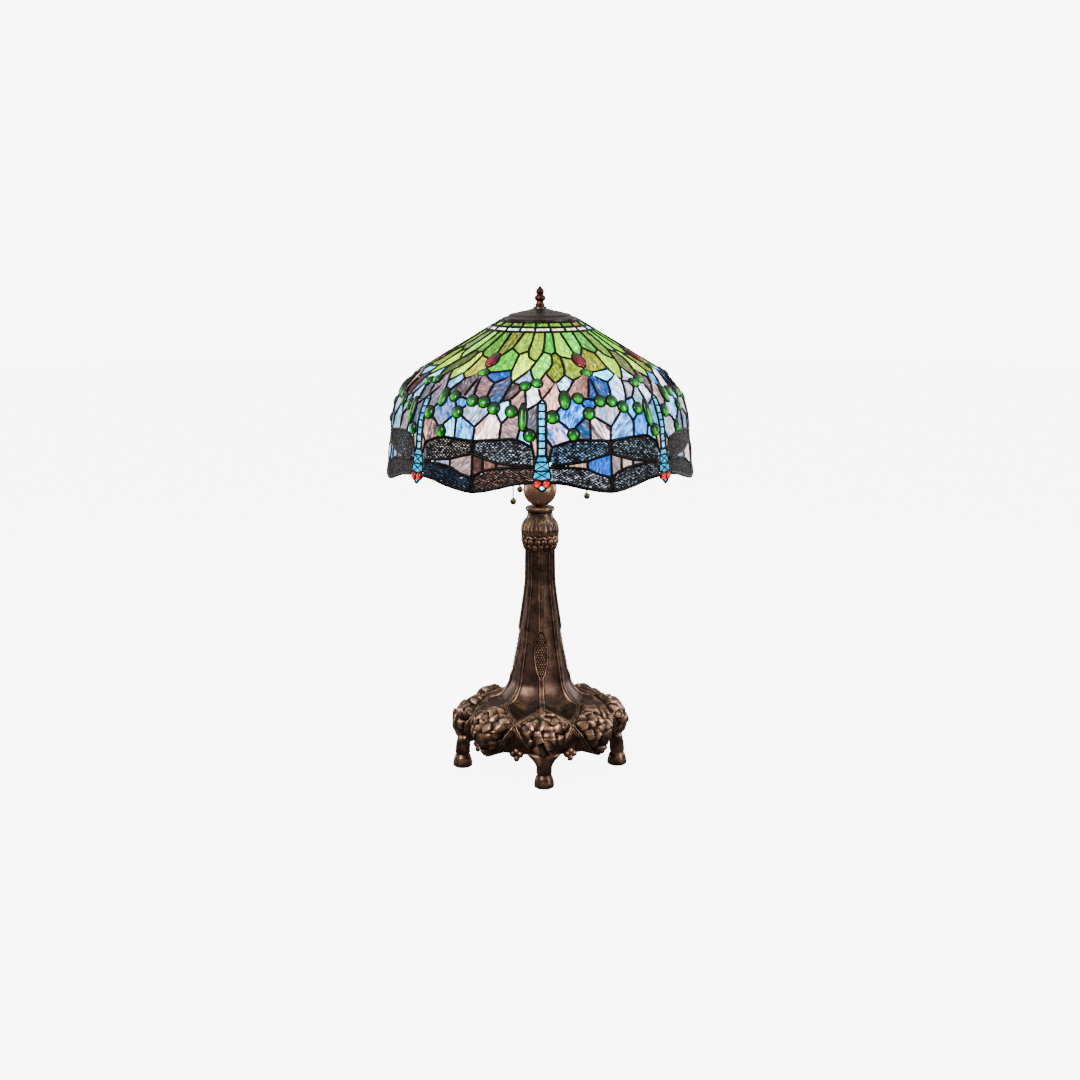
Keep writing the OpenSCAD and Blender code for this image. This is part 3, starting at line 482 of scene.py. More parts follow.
class Nodes:
    """The node tree of a material or a world, with short ways to add and join nodes."""

    def __init__(self, owner):
        owner.use_nodes = True
        self.owner, self.tree = owner, owner.node_tree
        self.shader = self.tree.nodes.get("Principled BSDF")

    def feed(self, socket, value):
        """Gives an input the output of another node, a number or a colour."""
        if isinstance(value, bpy.types.NodeSocket):
            self.tree.links.new(value, socket)
        elif isinstance(value, (int, float)):
            socket.default_value = value
        else:
            socket.default_value = (*value, 1)

    def add(self, kind, inputs=None, **settings):
        node = self.tree.nodes.new("ShaderNode" + kind)
        for key, value in settings.items():
            setattr(node, key, value)
        for key, value in (inputs or {}).items():
            self.feed(node.inputs[key], value)
        return node

    def attribute(self, name, output="Vector"):
        return self.add("Attribute", attribute_name=name).outputs[output]

    def place(self):
        return self.add("TexCoord").outputs["Object"]

    def noise(self, vector, scale, detail, rough=0.55, distortion=0.0):
        return self.add("TexNoise", {"Vector": vector, "Scale": scale, "Detail": detail, "Roughness": rough,
                                     "Distortion": distortion}).outputs["Fac"]

    def ramp(self, value, stops):
        """Colours at their places from 0 to 1; a number stands for a grey."""
        node = self.add("ValToRGB", {"Fac": value})
        elements = node.color_ramp.elements
        while len(elements) < len(stops):
            elements.new(0.5)
        for element, (at, colour) in zip(elements, stops):
            element.position = at
            element.color = (*((colour,) * 3 if isinstance(colour, (int, float)) else colour), 1)
        return node.outputs["Color"]

    def mix(self, factor, a, b, blend="MIX"):
        return self.add("Mix", {0: factor, 6: a, 7: b}, data_type="RGBA", blend_type=blend).outputs[2]

    def maths(self, operation, a, b):
        return self.add("Math", {0: a, 1: b}, operation=operation).outputs[0]

    def bump(self, height, strength, distance):
        node = self.add("Bump", {"Height": height, "Strength": strength, "Distance": distance})
        self.feed(self.shader.inputs["Normal"], node.outputs["Normal"])

    def set(self, **inputs):
        for key, value in inputs.items():
            self.feed(self.shader.inputs[key.replace("_", " ")], value)


def material_nodes(name):
    return Nodes(bpy.data.materials.new(name))


def art_glass(name, wisp):
    """Rolled opalescent glass: two colours drift into each other in long streaks. The panes are opaque, and
    their emission is painted backlight standing in for the bulbs shining through them.
    """
    nodes = material_nodes(name)
    grain = nodes.attribute("grain")
    drift = nodes.noise(grain, 1.3, 5.0, 0.6, 0.8)
    fine = nodes.noise(grain, 3.0, 4.0, 0.6, 0.5)
    share = nodes.ramp(drift, [(0.43, 0), (0.57, 1)])
    clouds = nodes.ramp(fine, [(0.28, 0.22), (0.5, 0.9), (0.72, 2.3)])
    wisps = nodes.ramp(fine, [(0.60, 0), (0.80, wisp)])

    def streaked(first, second, white):
        mixed = nodes.mix(share, nodes.attribute(first), nodes.attribute(second))
        mixed = nodes.mix(wisps, mixed, (white,) * 3)
        return nodes.mix(1.0, mixed, clouds, "MULTIPLY")

    # The emission paints the backlight: the streaks glow as though the bulbs shone through the glass.
    nodes.set(Base_Color=streaked("colour_a", "colour_b", 0.3), Roughness=0.25,
              Emission_Color=streaked("glow_a", "glow_b", 2.2), Emission_Strength=1.0,
              Specular_IOR_Level=0.15)
    nodes.bump(nodes.noise(grain, 2.2, 3.0, 0.5, 0.4), 0.5, 0.0012)
    return nodes.owner


def jewel_glass(name, edge, middle, glint):
    """A pressed glass cabochon whose emission is painted light: painted shade dark at its edge, painted
    backlight in its middle and a painted glint low on the jewel.
    """
    nodes = material_nodes(name)
    dome = nodes.attribute("dome", "Fac")
    place = nodes.place()
    swirl = nodes.noise(place, 190.0, 3.0, 0.6, 1.2)
    lit = nodes.maths("ADD", dome, nodes.maths("SUBTRACT", swirl, 0.5))
    glow = nodes.ramp(lit, [(0.10, light_for(edge)), (0.55, light_for(middle)), (0.98, light_for(glint))])
    colour = nodes.ramp(lit, [(0.10, 0.3 * linear(edge)), (0.98, 0.3 * linear(middle))])
    nodes.set(Base_Color=colour, Roughness=0.08, Emission_Color=glow, Emission_Strength=1.0)
    nodes.bump(nodes.noise(place, 300.0, 2.0), 0.15, 0.0004)
    return nodes.owner


def metal(name, patina, dark, rubbed, rough, scale, level, even=None):
    """Patinated metal: raised places are rubbed bright, low ones stay dark. Where the wear value is high all
    over, as on the neck globe, that brightness is painted sheen as well as rubbing. even sets one wear all
    over.
    """
    nodes = material_nodes(name)
    place = nodes.place()
    cloud = nodes.noise(place, scale, 6.0, 0.62, 0.3)
    fine = nodes.noise(place, scale * 7, 3.0, 0.6)
    wear = nodes.attribute("wear", "Fac") if even is None else even
    rubbing_and_sheen = nodes.maths("ADD", nodes.maths("MULTIPLY", nodes.maths("SUBTRACT", cloud, 0.5), 1.1), wear)
    colour = nodes.ramp(rubbing_and_sheen, [(0.05, linear(patina)), (level, linear(dark)),
                                  (min(level + 0.45, 0.98), linear(rubbed))])
    colour = nodes.mix(1.0, colour, nodes.ramp(fine, [(0.35, 0.72), (0.62, 1.08)]), "MULTIPLY")
    roughness = nodes.maths("ADD", nodes.maths("MULTIPLY", fine, 0.22), rough - 0.11)
    nodes.set(Base_Color=colour, Metallic=0.85, Roughness=roughness)
    nodes.bump(cloud, 0.25, 0.0008)
    return nodes.owner


def plain(name, colour, rough, scale, metallic=0.0, **extra):
    """A material with a mottled colour and a fine grain."""
    nodes = material_nodes(name)
    grain = nodes.noise(nodes.place(), scale, 5.0, 0.6)
    colour = linear(colour)
    shades = nodes.ramp(grain, [(0.3, 0.75 * colour), (0.7, np.minimum(1.0, 1.15 * colour))])
    nodes.set(Base_Color=shades, Roughness=rough, Metallic=metallic, **extra)
    nodes.bump(grain, 0.3, 0.0004)
    return nodes.owner


GLASS = art_glass("art_glass", 0.35)
WING_GLASS = art_glass("wing_glass", 0.8)
SOOT = (0.006, 0.005, 0.005)
SOLDER = metal("solder", SOOT, (0.012, 0.010, 0.009), (0.05, 0.045, 0.042), 0.42, 260.0, 0.6)
FILIGREE = metal("filigree", SOOT, (0.010, 0.009, 0.010), (0.06, 0.055, 0.058), 0.55, 300.0, 0.5)
BRONZE = metal("bronze", "221814", "583f33", "d09c7c", 0.30, 60.0, 0.45)
DARK_BRONZE = metal("dark_bronze", "1c1814", "4c423c", "8c7868", 0.34, 60.0, 0.5, even=0.5)
FINIAL_BRONZE = metal("finial_bronze", "241410", "5c3426", "a87058", 0.32, 120.0, 0.5, even=0.38)
BRASS = metal("brass", "4c3820", "9c7c48", "d8b878", 0.3, 120.0, 0.35, even=0.55)
AGED_BRASS = metal("aged_brass", "1c140c", "7c6448", "c0a478", 0.3, 150.0, 0.5, even=0.55)
RUBY = jewel_glass("ruby", "30040c", "8a1028", "c83048")
EMERALD = jewel_glass("emerald", "002c08", "0a8420", "40d858")
EYE_RED = jewel_glass("eye_red", "8c0c08", "f02a20", "ff7050")

# ---------------------------------------------------------------------------
# Panes, solder lines, jewels and wings of the shade
# ---------------------------------------------------------------------------


ARC_STEP = 0.22  # radians between the points of a cut oval


def ellipse_level(points, centre, axes, half):
    """Below 1 inside an oval with half sizes along two axes, 1 on it and more outside."""
    d = points - centre
    return (d @ axes[0] / half[0]) ** 2 + (d @ axes[1] / half[1]) ** 2


def crossing(inside, outside, centre, axes, half):
    """The point between an inside and an outside point that lies on the oval."""
    low, high = 0.0, 1.0
    for _ in range(20):
        t = (low + high) / 2
        if ellipse_level(inside + t * (outside - inside), centre, axes, half) < 1:
            low = t
        else:
            high = t
    return inside + low * (outside - inside)


def cut_round(points, centre, axes, half):
    """Cuts an oval out of the corner of a closed outline that lies at its centre."""
    n = len(points)
    at = int(np.argmin(np.linalg.norm(points - centre, axis=1)))
    order = np.roll(points, -at, 0)
    inside = ellipse_level(order, centre, axes, half) < 1
    first = next((i for i in range(1, n) if not inside[i]), None)
    last = next((i for i in range(n - 1, 0, -1) if not inside[i]), None)
    if first is None or first > last:
        return points
    leave = crossing(order[first - 1], order[first], centre, axes, half)
    arrive = crossing(order[(last + 1) % n], order[last], centre, axes, half)
    start, end = (math.atan2((p - centre) @ axes[1] / half[1], (p - centre) @ axes[0] / half[0])
                  for p in (arrive, leave))
    sweep = (start - end) % (2 * math.pi)
    steps = max(3, int(sweep / ARC_STEP))
    t = start - sweep * np.linspace(0, 1, steps + 1)[:, None]
    arc = centre + axes[0] * half[0] * np.cos(t) + axes[1] * half[1] * np.sin(t)
    return np.concatenate([order[first:last + 1], arc])


def signed_area(p):
    q = np.roll(p, -1, 0)
    return 0.5 * float(np.sum(p[:, 0] * q[:, 1] - q[:, 0] * p[:, 1]))


def shrink(p, d):
    """The outline with every point moved inwards by d."""
    before, after = unit(p - np.roll(p, 1, 0)), unit(np.roll(p, -1, 0) - p)
    normal = np.stack([-(before + after)[:, 1], (before + after)[:, 0]], 1)
    scale = np.clip(np.linalg.norm(normal, axis=1, keepdims=True) / 2, 0.45, 1)
    return p + unit(normal) * d / scale


def drop_close(p, gap=0.35):
    """The outline without points that lie closer than gap to the one before."""
    keep = [0]
    for i in range(1, len(p)):
        if np.linalg.norm(p[i] - p[keep[-1]]) > gap:
            keep.append(i)
    if np.linalg.norm(p[keep[-1]] - p[0]) < gap:
        keep.pop()
    return p[keep]


# Strength of the painted backlight in the glass of each part; 1 where nothing is said.
GLASS_LEVELS = {"mosaic": 0.78, "leaf": 1.5, "thorax": 1.5}
# Strength of the painted backlight in the wing glass.
WING_LEVEL = 0.82
BODY_SHARE = 0.12  # how dark the glass is with no light behind it
STREAK_WIDTH, STREAK_LENGTH = 9, 32


def tints(codes, strength=1.0):
    """Body colour of a pane's two streaks, and their glow, which is painted backlight."""
    found = {}
    for streak, code in zip("ab", codes):
        found["colour_" + streak] = BODY_SHARE * linear(code)
        found["glow_" + streak] = strength * light_for(code)
    return found


def pane_slab(piece, outline, origin, axes, colours, turn, strength):
    """A flat pane with softened edges. outline is in the plane of axes[0] and axes[1] round origin."""
    rings = [(0.45, -GLASS_T), (0.45, -0.5), (1.1, 0.0)]
    flat = [shrink(outline, inset) for inset, _ in rings]
    verts = [origin + p @ axes[:2] + height * axes[2] for p, (_, height) in zip(flat, rings)]
    flat = np.concatenate(flat)
    c, s = math.cos(turn), math.sin(turn)
    shift = rng.uniform(0, 60, 2)
    grain = np.stack([(flat @ [c, s]) / STREAK_WIDTH + shift[0], (flat @ [-s, c]) / STREAK_LENGTH + shift[1],
                      0 * flat[:, 0]], 1)
    piece.add(np.concatenate(verts), grid_faces(len(rings), len(outline), ends="capped"), grain=grain,
              **tints(colours, strength))


JEWEL_GAP, LINE_GAP = 0.6, 0.4  # from a jewel to the glass and to the end of a solder line
glass = {}
for face in faces:
    loop = np.concatenate([line_between(*side)[:-1] for side in sides(face)])
    middle = loop.mean(0)
    axes = shade_axes(middle)
    at = on_shade(loop)
    origin = on_shade(middle)
    origin = origin + axes[2] * float(((at - origin) @ axes[2]).mean())
    outline = (at - origin) @ axes[:2].T
    if signed_area(outline) < 0:
        outline = outline[::-1]
    for name, place in zip(face["names"], face["places"]):
        if is_jewel(name):
            centre = (on_shade(place) - origin) @ axes[:2].T
            half = [size / 2 + JEWEL_GAP for size in JEWELS[name[1]]]
            outline = cut_round(outline, centre, unit(shade_axes(place)[:2] @ axes[:2].T), half)
    if face["node"] == "thorax_glass" and face["number"] >= 2:
        for eye in EYES:
            place = np.array([eye[0] + SHADE_TURN + face["sector"] * SECTOR, eye[1]])
            centre = (on_shade(place) - origin) @ axes[:2].T
            keep = np.linalg.norm(outline - centre, axis=1)
            push = np.clip(EYE_D / 2 + JEWEL_GAP - keep, 0, None)[:, None]
            outline = outline + unit(outline - centre) * push
    outline = drop_close(outline)
    streak_turn = rng.normal(0.0, 0.25) if "leaf" in face["node"] else rng.normal(0.15, 0.5)
    strength = next((level for part, level in GLASS_LEVELS.items() if part in face["node"]), 1.0)
    pane_slab(glass.setdefault(face["node"], Piece()), outline, origin, axes,
              streaks(face["node"], face["number"], face["sector"]), streak_turn, strength)

# Slot of the glass of each node, and the node of the solder round it.
PANE_PARTS = {
    "crown_glass": ("crown_glass", "crown_lead"), "band_glass": ("band_glass", "crown_lead"),
    "upper_leaf_glass": ("leaf_glass", "leaf_lead"), "lower_leaf_glass": ("leaf_glass", "leaf_lead"),
    "upper_mosaic_glass": ("mosaic_glass", "mosaic_lead"),
    "lower_mosaic_glass": ("mosaic_glass", "mosaic_lead"),
    "spandrel_glass": ("mosaic_glass", "mosaic_lead"),
    "tail_glass": ("body_glass", "body_lead"), "thorax_glass": ("body_glass", "body_lead"),
}
for node, piece in glass.items():
    piece.build("panes_" + node, GLASS, "shade", PANE_PARTS[node][0], [node], smooth=False)


def lead_line(piece, uz, wide, high):
    """A line of solder, a little uneven in width, along (turn, height) points."""
    path, out = on_shade(uz), outwards(uz)
    side = unit(np.cross(path_tangent(path), out))
    wobble = 1 + 0.07 * np.sin(np.linspace(0, 5, len(uz)) + rng.uniform(0, 6))
    tube(piece, path, side, out, wide * wobble, high * wobble, 10, wear=0.3)


def outside_jewels(uz, ends):
    """The part of a line that lies outside the jewels at its ends."""
    new, old = np.linspace(0, 1, 25), np.linspace(0, 1, len(uz))
    fine = np.stack([np.interp(new, old, uz[:, i]) for i in (0, 1)], 1)
    keep = np.ones(len(fine), bool)
    at = on_shade(fine)
    for name, place in ends:
        if is_jewel(name):
            half = [size / 2 + LINE_GAP for size in JEWELS[name[1]]]
            keep &= ellipse_level(at, on_shade(place), shade_axes(place), half) > 1
    return fine[keep][::3] if keep.sum() > 6 else fine[keep]


leads = {name: Piece() for name in ("crown_lead", "leaf_lead", "mosaic_lead", "wing_lead", "body_lead")}
drawn, blobs = set(), set()
for face in faces:
    for a, b, place_a, place_b in sides(face):
        if frozenset((a, b)) in drawn:
            continue
        drawn.add(frozenset((a, b)))
        slot, lead_node = PANE_PARTS[face["node"]]
        half = BODY_LEAD_HALF if slot == "body_glass" else LEAD_HALF
        uz = outside_jewels(line_between(a, b, place_a, place_b), ((a, place_a), (b, place_b)))
        if len(uz) > 1:
            lead_line(leads[lead_node], uz, half, half * 0.85)
        for name, place in ((a, place_a), (b, place_b)):
            if name not in blobs and not is_jewel(name):
                blobs.add(name)
                size = half * np.array([1.12, 1.12, 0.95])
                ball(leads[lead_node], on_shade(place), size, shade_axes(place), 5, 10, wear=0.45)

CROSS_SHARES = np.linspace(0.06, 0.94, 9)[:, None]
for face in faces:
    if face["node"] == "thorax_glass" and face["number"] in (1, 2):
        corners = np.array(face["places"], float)
        for a, b in ((0, 2), (1, 3)):
            lead_line(leads["body_lead"], corners[a] + (corners[b] - corners[a]) * CROSS_SHARES, 0.9, 1.5)


def wing_edges(wing, sector):
    """Upper and lower edge of a wing as 49 evenly spread (turn, height) points each, from body to tip."""
    found = []
    for chain in wing[1:]:
        found_at = [globalise(i, sector) for i in chain]
        drawn_lines = [line_between(a, b, place_a, place_b)[:-1]
                       for (a, place_a), (b, place_b) in zip(found_at, found_at[1:])]
        uz = np.concatenate(drawn_lines + [[found_at[-1][1]]])
        length = np.concatenate([[0], np.cumsum(np.linalg.norm(np.diff(on_shade(uz), axis=0), axis=1))])
        t = np.linspace(0, length[-1], 49)
        found.append(np.stack([np.interp(t, length, uz[:, i]) for i in (0, 1)], 1))
    return found


def wing_point(edges, s, t):
    """(turn, height) at share s from body to tip and share t from lower to upper edge."""
    at = np.asarray(s) * (len(edges[0]) - 1)
    upper, lower = (np.stack([np.interp(at, np.arange(len(e)), e[:, i]) for i in (0, 1)], -1) for e in edges)
    return lower + (upper - lower) * np.asarray(t)[..., None]


def wing_pane(piece, edges, colours):
    """One slab of glass that fills a wing."""
    s, t = np.meshgrid(np.linspace(0.01, 0.99, 41), np.linspace(0.03, 0.97, 9), indexing="ij")
    uz = wing_point(edges, s, t)
    front, back = on_shade(uz, -0.6), on_shade(uz, -0.6 - GLASS_T)
    rows, columns = s.shape
    count = rows * columns
    quads = grid_faces(rows, columns, wrap=False)
    faces = [tuple(q[::-1]) for q in quads] + [tuple(i + count for i in q) for q in quads]
    edge = [(r, 0) for r in range(rows)] + [(rows - 1, c) for c in range(1, columns)]
    edge += [(r, columns - 1) for r in range(rows - 2, -1, -1)] + [(0, c) for c in range(columns - 2, 0, -1)]
    ring = [r * columns + c for r, c in edge]
    faces += [(a, b, b + count, a + count) for a, b in zip(ring, ring[1:] + ring[:1])]
    shift = rng.uniform(0, 60, 2)
    flat = np.stack([s.ravel() * 3 + shift[0], t.ravel() * 2.4 + shift[1], 0 * s.ravel()], 1)
    piece.add(np.concatenate([front.reshape(-1, 3), back.reshape(-1, 3)]), faces,
              grain=np.concatenate([flat, flat]), **tints(colours, WING_LEVEL))


NET_COLUMNS, NET_ROWS = 16, 13
CELL = np.array([(-0.5, -0.35), (0, -0.65), (0.5, -0.35), (0.5, 0.35), (0, 0.65), (-0.5, 0.35)])


def wing_net(piece, edges):
    """A cast net of long cells over a wing, each cell a closed frame round a hole."""
    for row in range(NET_ROWS):
        for column in range(-1, NET_COLUMNS):
            s = (column + 0.5 + 0.5 * (row % 2)) / NET_COLUMNS
            t = (row + 0.5) / NET_ROWS
            if not 0 < s < 1:
                continue
            outer = np.clip(np.array([s, t]) + CELL / (NET_COLUMNS, NET_ROWS), 0, 1)
            outer[:, 1] += 0.012 * np.sin(9 * outer[:, 0] + 2 * outer[:, 1])
            outer = np.clip(outer, 0.004, 0.996)
            middle = outer.mean(0)
            size = rng.choice([rng.uniform(0.10, 0.32), rng.uniform(0.36, 0.66)], p=[0.4, 0.6])
            drift = rng.uniform(-0.12, 0.12, 2) / (NET_COLUMNS, NET_ROWS)
            inner = middle + drift + (outer - middle) * (size * rng.uniform(0.9, 1.25), size)
            rings = [on_shade(wing_point(edges, corners[:, 0], corners[:, 1]), lift)
                     for corners, lift in ((outer, 0.9), (inner, 0.8), (inner, -0.3), (outer, -0.3))]
            piece.add(np.concatenate(rings), grid_faces(4, 6, ends="joined"), wear=rng.uniform(0.1, 0.7))


wing_glass, net = {"upper_wing_glass": Piece(), "lower_wing_glass": Piece()}, Piece()
for sector in range(SECTORS):
    for number, wing in enumerate(WINGS):
        edges = wing_edges(wing, sector)
        colours = streaks("wings", number, sector)
        wing_pane(wing_glass[wing[0]], edges, colours)
        wing_net(net, edges)
        for edge in edges:
            lead_line(leads["wing_lead"], edge[::3], LEAD_HALF, 1.9)
        swing = np.linspace(-math.pi / 2, math.pi / 2, 15)
        for start, width in ((0.905, 2.5), (0.935, 2.9)):
            tip = wing_point(edges, start + (0.985 - start) * np.cos(swing), 0.5 + 0.49 * np.sin(swing))
            lead_line(leads["wing_lead"], tip, width, 1.6 + 0.1 * width)
for name, piece in wing_glass.items():
    piece.build("panes_" + name, WING_GLASS, "shade", "wing_glass", [name])
net.build("wing_net", FILIGREE, "shade", "filigree", ["wing_filigree"], smooth=False)
for name, piece in leads.items():
    piece.build("solder_" + name, SOLDER, "shade", "solder", [name])


def cabochon(piece, place, w, l, height):
    """A domed jewel with a rounded edge, set on the glass."""
    turn = np.linspace(0, 2 * math.pi, 32, endpoint=False)
    share = np.array([1.0, 1.0, 0.97, 0.90, 0.80, 0.68, 0.54, 0.38, 0.20, 0.07])
    lift = np.concatenate([[-GLASS_T, 0.2], 0.2 + height * np.sqrt(1 - share[2:] ** 2) ** 0.9])
    axes = shade_axes(place)
    rings = [np.stack([w / 2 * s * np.cos(turn), l / 2 * s * np.sin(turn), 0 * turn + h], 1) @ axes
             for s, h in zip(share, lift)]
    # The painted glint: the jewel's painted light is brightest round this point and falls to painted shade
    # towards its far edge.
    glint = np.array([-0.15, -0.55])
    dome = np.concatenate([1 - np.hypot(s * np.cos(turn) - glint[0], s * np.sin(turn) - glint[1]) / 1.25
                           for s in share])
    piece.add(np.concatenate(rings) + on_shade(place), grid_faces(len(share), len(turn), ends="capped"),
              dome=np.clip(dome, 0, 1))


def oval_ring(piece, place, w, l, thick, high):
    """The collar of solder round a jewel."""
    basis = shade_axes(place)
    turn = np.linspace(0, 2 * math.pi, 40, endpoint=False)
    spread = np.stack([np.cos(turn) * (w / 2), np.sin(turn) * (l / 2), 0 * turn], 1)
    out = unit(np.stack([np.cos(turn) * (l / 2), np.sin(turn) * (w / 2), 0 * turn], 1))
    path = on_shade(place) + spread @ basis
    tube(piece, path, out @ basis, np.tile(basis[2], (40, 1)), thick, high, 10, closed=True, wear=0.4)


JEWEL_HEIGHT, EYE_HEIGHT = 5.0, 4.0
rings = Piece()
jewels = {name: Piece() for name in list(JEWEL_NODES) + ["eye_jewels"]}
for sector in range(SECTORS):
    turned = np.array([SHADE_TURN + sector * SECTOR, 0])
    for name, numbers in JEWEL_NODES.items():
        for i in numbers:
            w, l = JEWELS[i]
            cabochon(jewels[name], CORNERS[i] + turned, w, l, JEWEL_HEIGHT)
            oval_ring(rings, CORNERS[i] + turned, w + 1.4, l + 1.4, 1.4, 1.9)
    for eye in EYES:
        cabochon(jewels["eye_jewels"], eye + turned, EYE_D, EYE_D, EYE_HEIGHT)
        oval_ring(rings, eye + turned, EYE_D + 1.0, EYE_D + 1.0, 1.0, 1.7)
JEWEL_GLASS = (("ruby", RUBY, "ruby"), ("oval", EMERALD, "emerald"), ("round", EMERALD, "emerald"),
               ("eye", EYE_RED, "eye_red"))
for kind, material, slot in JEWEL_GLASS:
    jewels[kind + "_jewels"].build("jewels_" + kind, material, "shade", slot, [kind + "_jewels"])
rings.build("jewel_settings", SOLDER, "shade", "solder", ["jewel_rings"])

RIM_WIRE_R, RIM_DROP = 1.9, 1.4
rim_path = np.array([globalise(i, sector)[1] for sector in range(SECTORS) for i in RIM_LINE[:-1]])
count = len(rim_path)
dense = np.linspace(0, count, 6 * count, endpoint=False)
closed = np.vstack([rim_path, rim_path[:1] + [360, 0]])
rim_uz = np.stack([np.interp(dense, np.arange(count + 1), closed[:, i]) for i in (0, 1)], 1)
kernel = np.array([1, 2, 3, 2, 1]) / 9
rim_uz[:, 1] = np.convolve(np.concatenate([rim_uz[-2:, 1], rim_uz[:, 1], rim_uz[:2, 1]]), kernel, "valid")
path, out = on_shade(rim_uz) - [0, 0, RIM_DROP], outwards(rim_uz)
wire = Piece()
tube(wire, path, unit(np.cross(path_tangent(path, True), out)), out, RIM_WIRE_R, RIM_WIRE_R, 10, closed=True,
     wear=0.4)
wire.build("rim_wire_round", SOLDER, "shade", "solder", ["rim_wire"])

CHAIN_R, CHAIN_TOP, CHAIN_FOOT, FIRST_CHAIN = 79.0, 548.0, 476.0, -37
BEAD_R, BEAD_PITCH, CHAIN_WIRE_R = 1.7, 3.8, 0.45
PULL_BALL_Z, PULL_BALL_R = 470.0, 5.5
for k in range(3):
    chain, turn = Piece(), math.radians(FIRST_CHAIN + 120 * k)
    hang = np.array([CHAIN_R * math.sin(turn), -CHAIN_R * math.cos(turn), 0])
    for z in np.arange(CHAIN_FOOT, CHAIN_TOP, BEAD_PITCH):
        ball(chain, hang + [0, 0, z], (BEAD_R,) * 3, rows=5, columns=10)
    wire_z = np.array([[0, 0, CHAIN_FOOT - 2], [0, 0, CHAIN_TOP]])
    tube(chain, hang + wire_z, np.array([[1, 0, 0]]), np.array([[0, 1, 0]]), CHAIN_WIRE_R, CHAIN_WIRE_R)
    chain.build(f"beads_{k + 1}", DARK_BRONZE, f"chain_{k + 1}", "brass", [f"pull_chain_{k + 1}"])
    weight = Piece()
    ball(weight, hang + [0, 0, PULL_BALL_Z], (PULL_BALL_R,) * 3, rows=23, columns=48)
    weight.build(f"pull_ball_{k + 1}", AGED_BRASS, f"chain_{k + 1}", "aged_brass", [f"chain_ball_{k + 1}"])

# ---------------------------------------------------------------------------
# Bronze castings: foot, stem, capital, ring and ball
# ---------------------------------------------------------------------------

LOBES, LOBE_COLUMNS = 8, 96
ROD_HOLE = 6.0
# Outline over the middle of a lobe and between two lobes: (place down the casting, radius, height).
# From 1.5 to 2.5 it runs down the diamond on the front of a lobe.
SHAFT_LINE = [(0, 23.9, 383), (0.25, 24.6, 325), (0.40, 28.9, 290), (0.54, 33.9, 256), (0.69, 39.2, 220),
              (0.83, 45.9, 186), (1.0, 52.1, 150)]
MIDDLE_LINE = SHAFT_LINE + [
    (1.10, 58, 140), (1.22, 66, 131), (1.34, 74, 126), (1.5, 88, 122), (1.69, 108, 116), (1.87, 126, 106),
    (2.03, 136, 92), (2.16, 140, 78), (2.29, 139, 64), (2.40, 136, 52), (2.5, 131, 42)]
SIDE_LINE = SHAFT_LINE + [
    (1.12, 59, 139), (1.25, 68, 128), (1.40, 80, 118), (1.6, 94, 111), (1.78, 108, 106.5), (1.90, 121, 104),
    (1.97, 127, 96), (2.12, 127, 84), (2.28, 123, 70), (2.40, 119, 59), (2.5, 116, 50)]
SEAM = 1.34          # where the stem ends and the foot begins
WIDEST = 0.42        # share of the diamond's height where it is widest
POD_LOW, POD_HIGH, POD_HALF = 165.0, 243.0, 12.5
POD_ROW, POD_PITCH, POD_BEAD_R = 4.0, 4.6, 1.75
LUMP_WIDTH, LUMP_ROW = 14.0, 11.5
DIAMOND_DROP = 111   # length of the diamond down the front of a lobe


def ridge(distance, middle, half):
    """A round ridge, 1 high, at distance middle."""
    return np.exp(-((distance - middle) / half) ** 2)


def rise(value, start, end):
    """0 up to start, 1 from end on, smooth between."""
    t = np.clip((value - start) / (end - start), 0, 1)
    return t * t * (3 - 2 * t)


def blurred(grid, rows, columns):
    """Mean over a window; the grid joins up sideways."""
    pad = np.pad(grid, ((rows, rows), (0, 0)), "edge")
    down = np.mean([pad[i:i + len(grid)] for i in range(2 * rows + 1)], 0)
    return np.mean([np.roll(down, j, 1) for j in range(-columns, columns + 1)], 0)


def closed_casting(piece, angle, r, z, wear):
    """A solid from a grid of radius and height that joins up sideways and from its last row to its first."""
    verts = np.stack([r * np.sin(angle), -r * np.cos(angle), z], -1)
    faces = [(a, d, c, b) for a, b, c, d in grid_faces(*r.shape, ends="joined")]
    piece.add(verts, faces, wear=wear.ravel())


def line_at(line, at):
    """Radius and height at places down a line, rounded at its corners."""
    line = np.array(line, float)
    smooth = np.linspace(-0.03, 0.03, 7)
    return [np.mean([np.interp(at + o, line[:, 0], line[:, i]) for o in smooth], 0) for i in (1, 2)]


def pod_relief(across, z):
    """Relief of an almond on a rib, sunk and filled with beads, and how far it covers the rib."""
    share = np.clip((z - POD_LOW) / (POD_HIGH - POD_LOW), 0, 1)
    half = 3.2 + (POD_HALF - 3.2) * np.sin(math.pi * share) ** 0.75
    inside = rise(half - np.abs(across), 1.0, 2.4) * (share > 0) * (share < 1)
    row = np.round(z / POD_ROW)
    shift = POD_PITCH / 2 * (row % 2)
    column = np.round((across - shift) / POD_PITCH) * POD_PITCH + shift
    away = np.hypot(across - column, z - row * POD_ROW)
    beads = 1.9 * np.sqrt(np.clip(1 - (away / POD_BEAD_R) ** 2, 0, 1))
    edge = ridge(np.abs(across), half, 1.1) * (share > 0) * (share < 1)
    return 1.5 * edge + inside * (beads - 1.4), np.maximum(inside, edge)


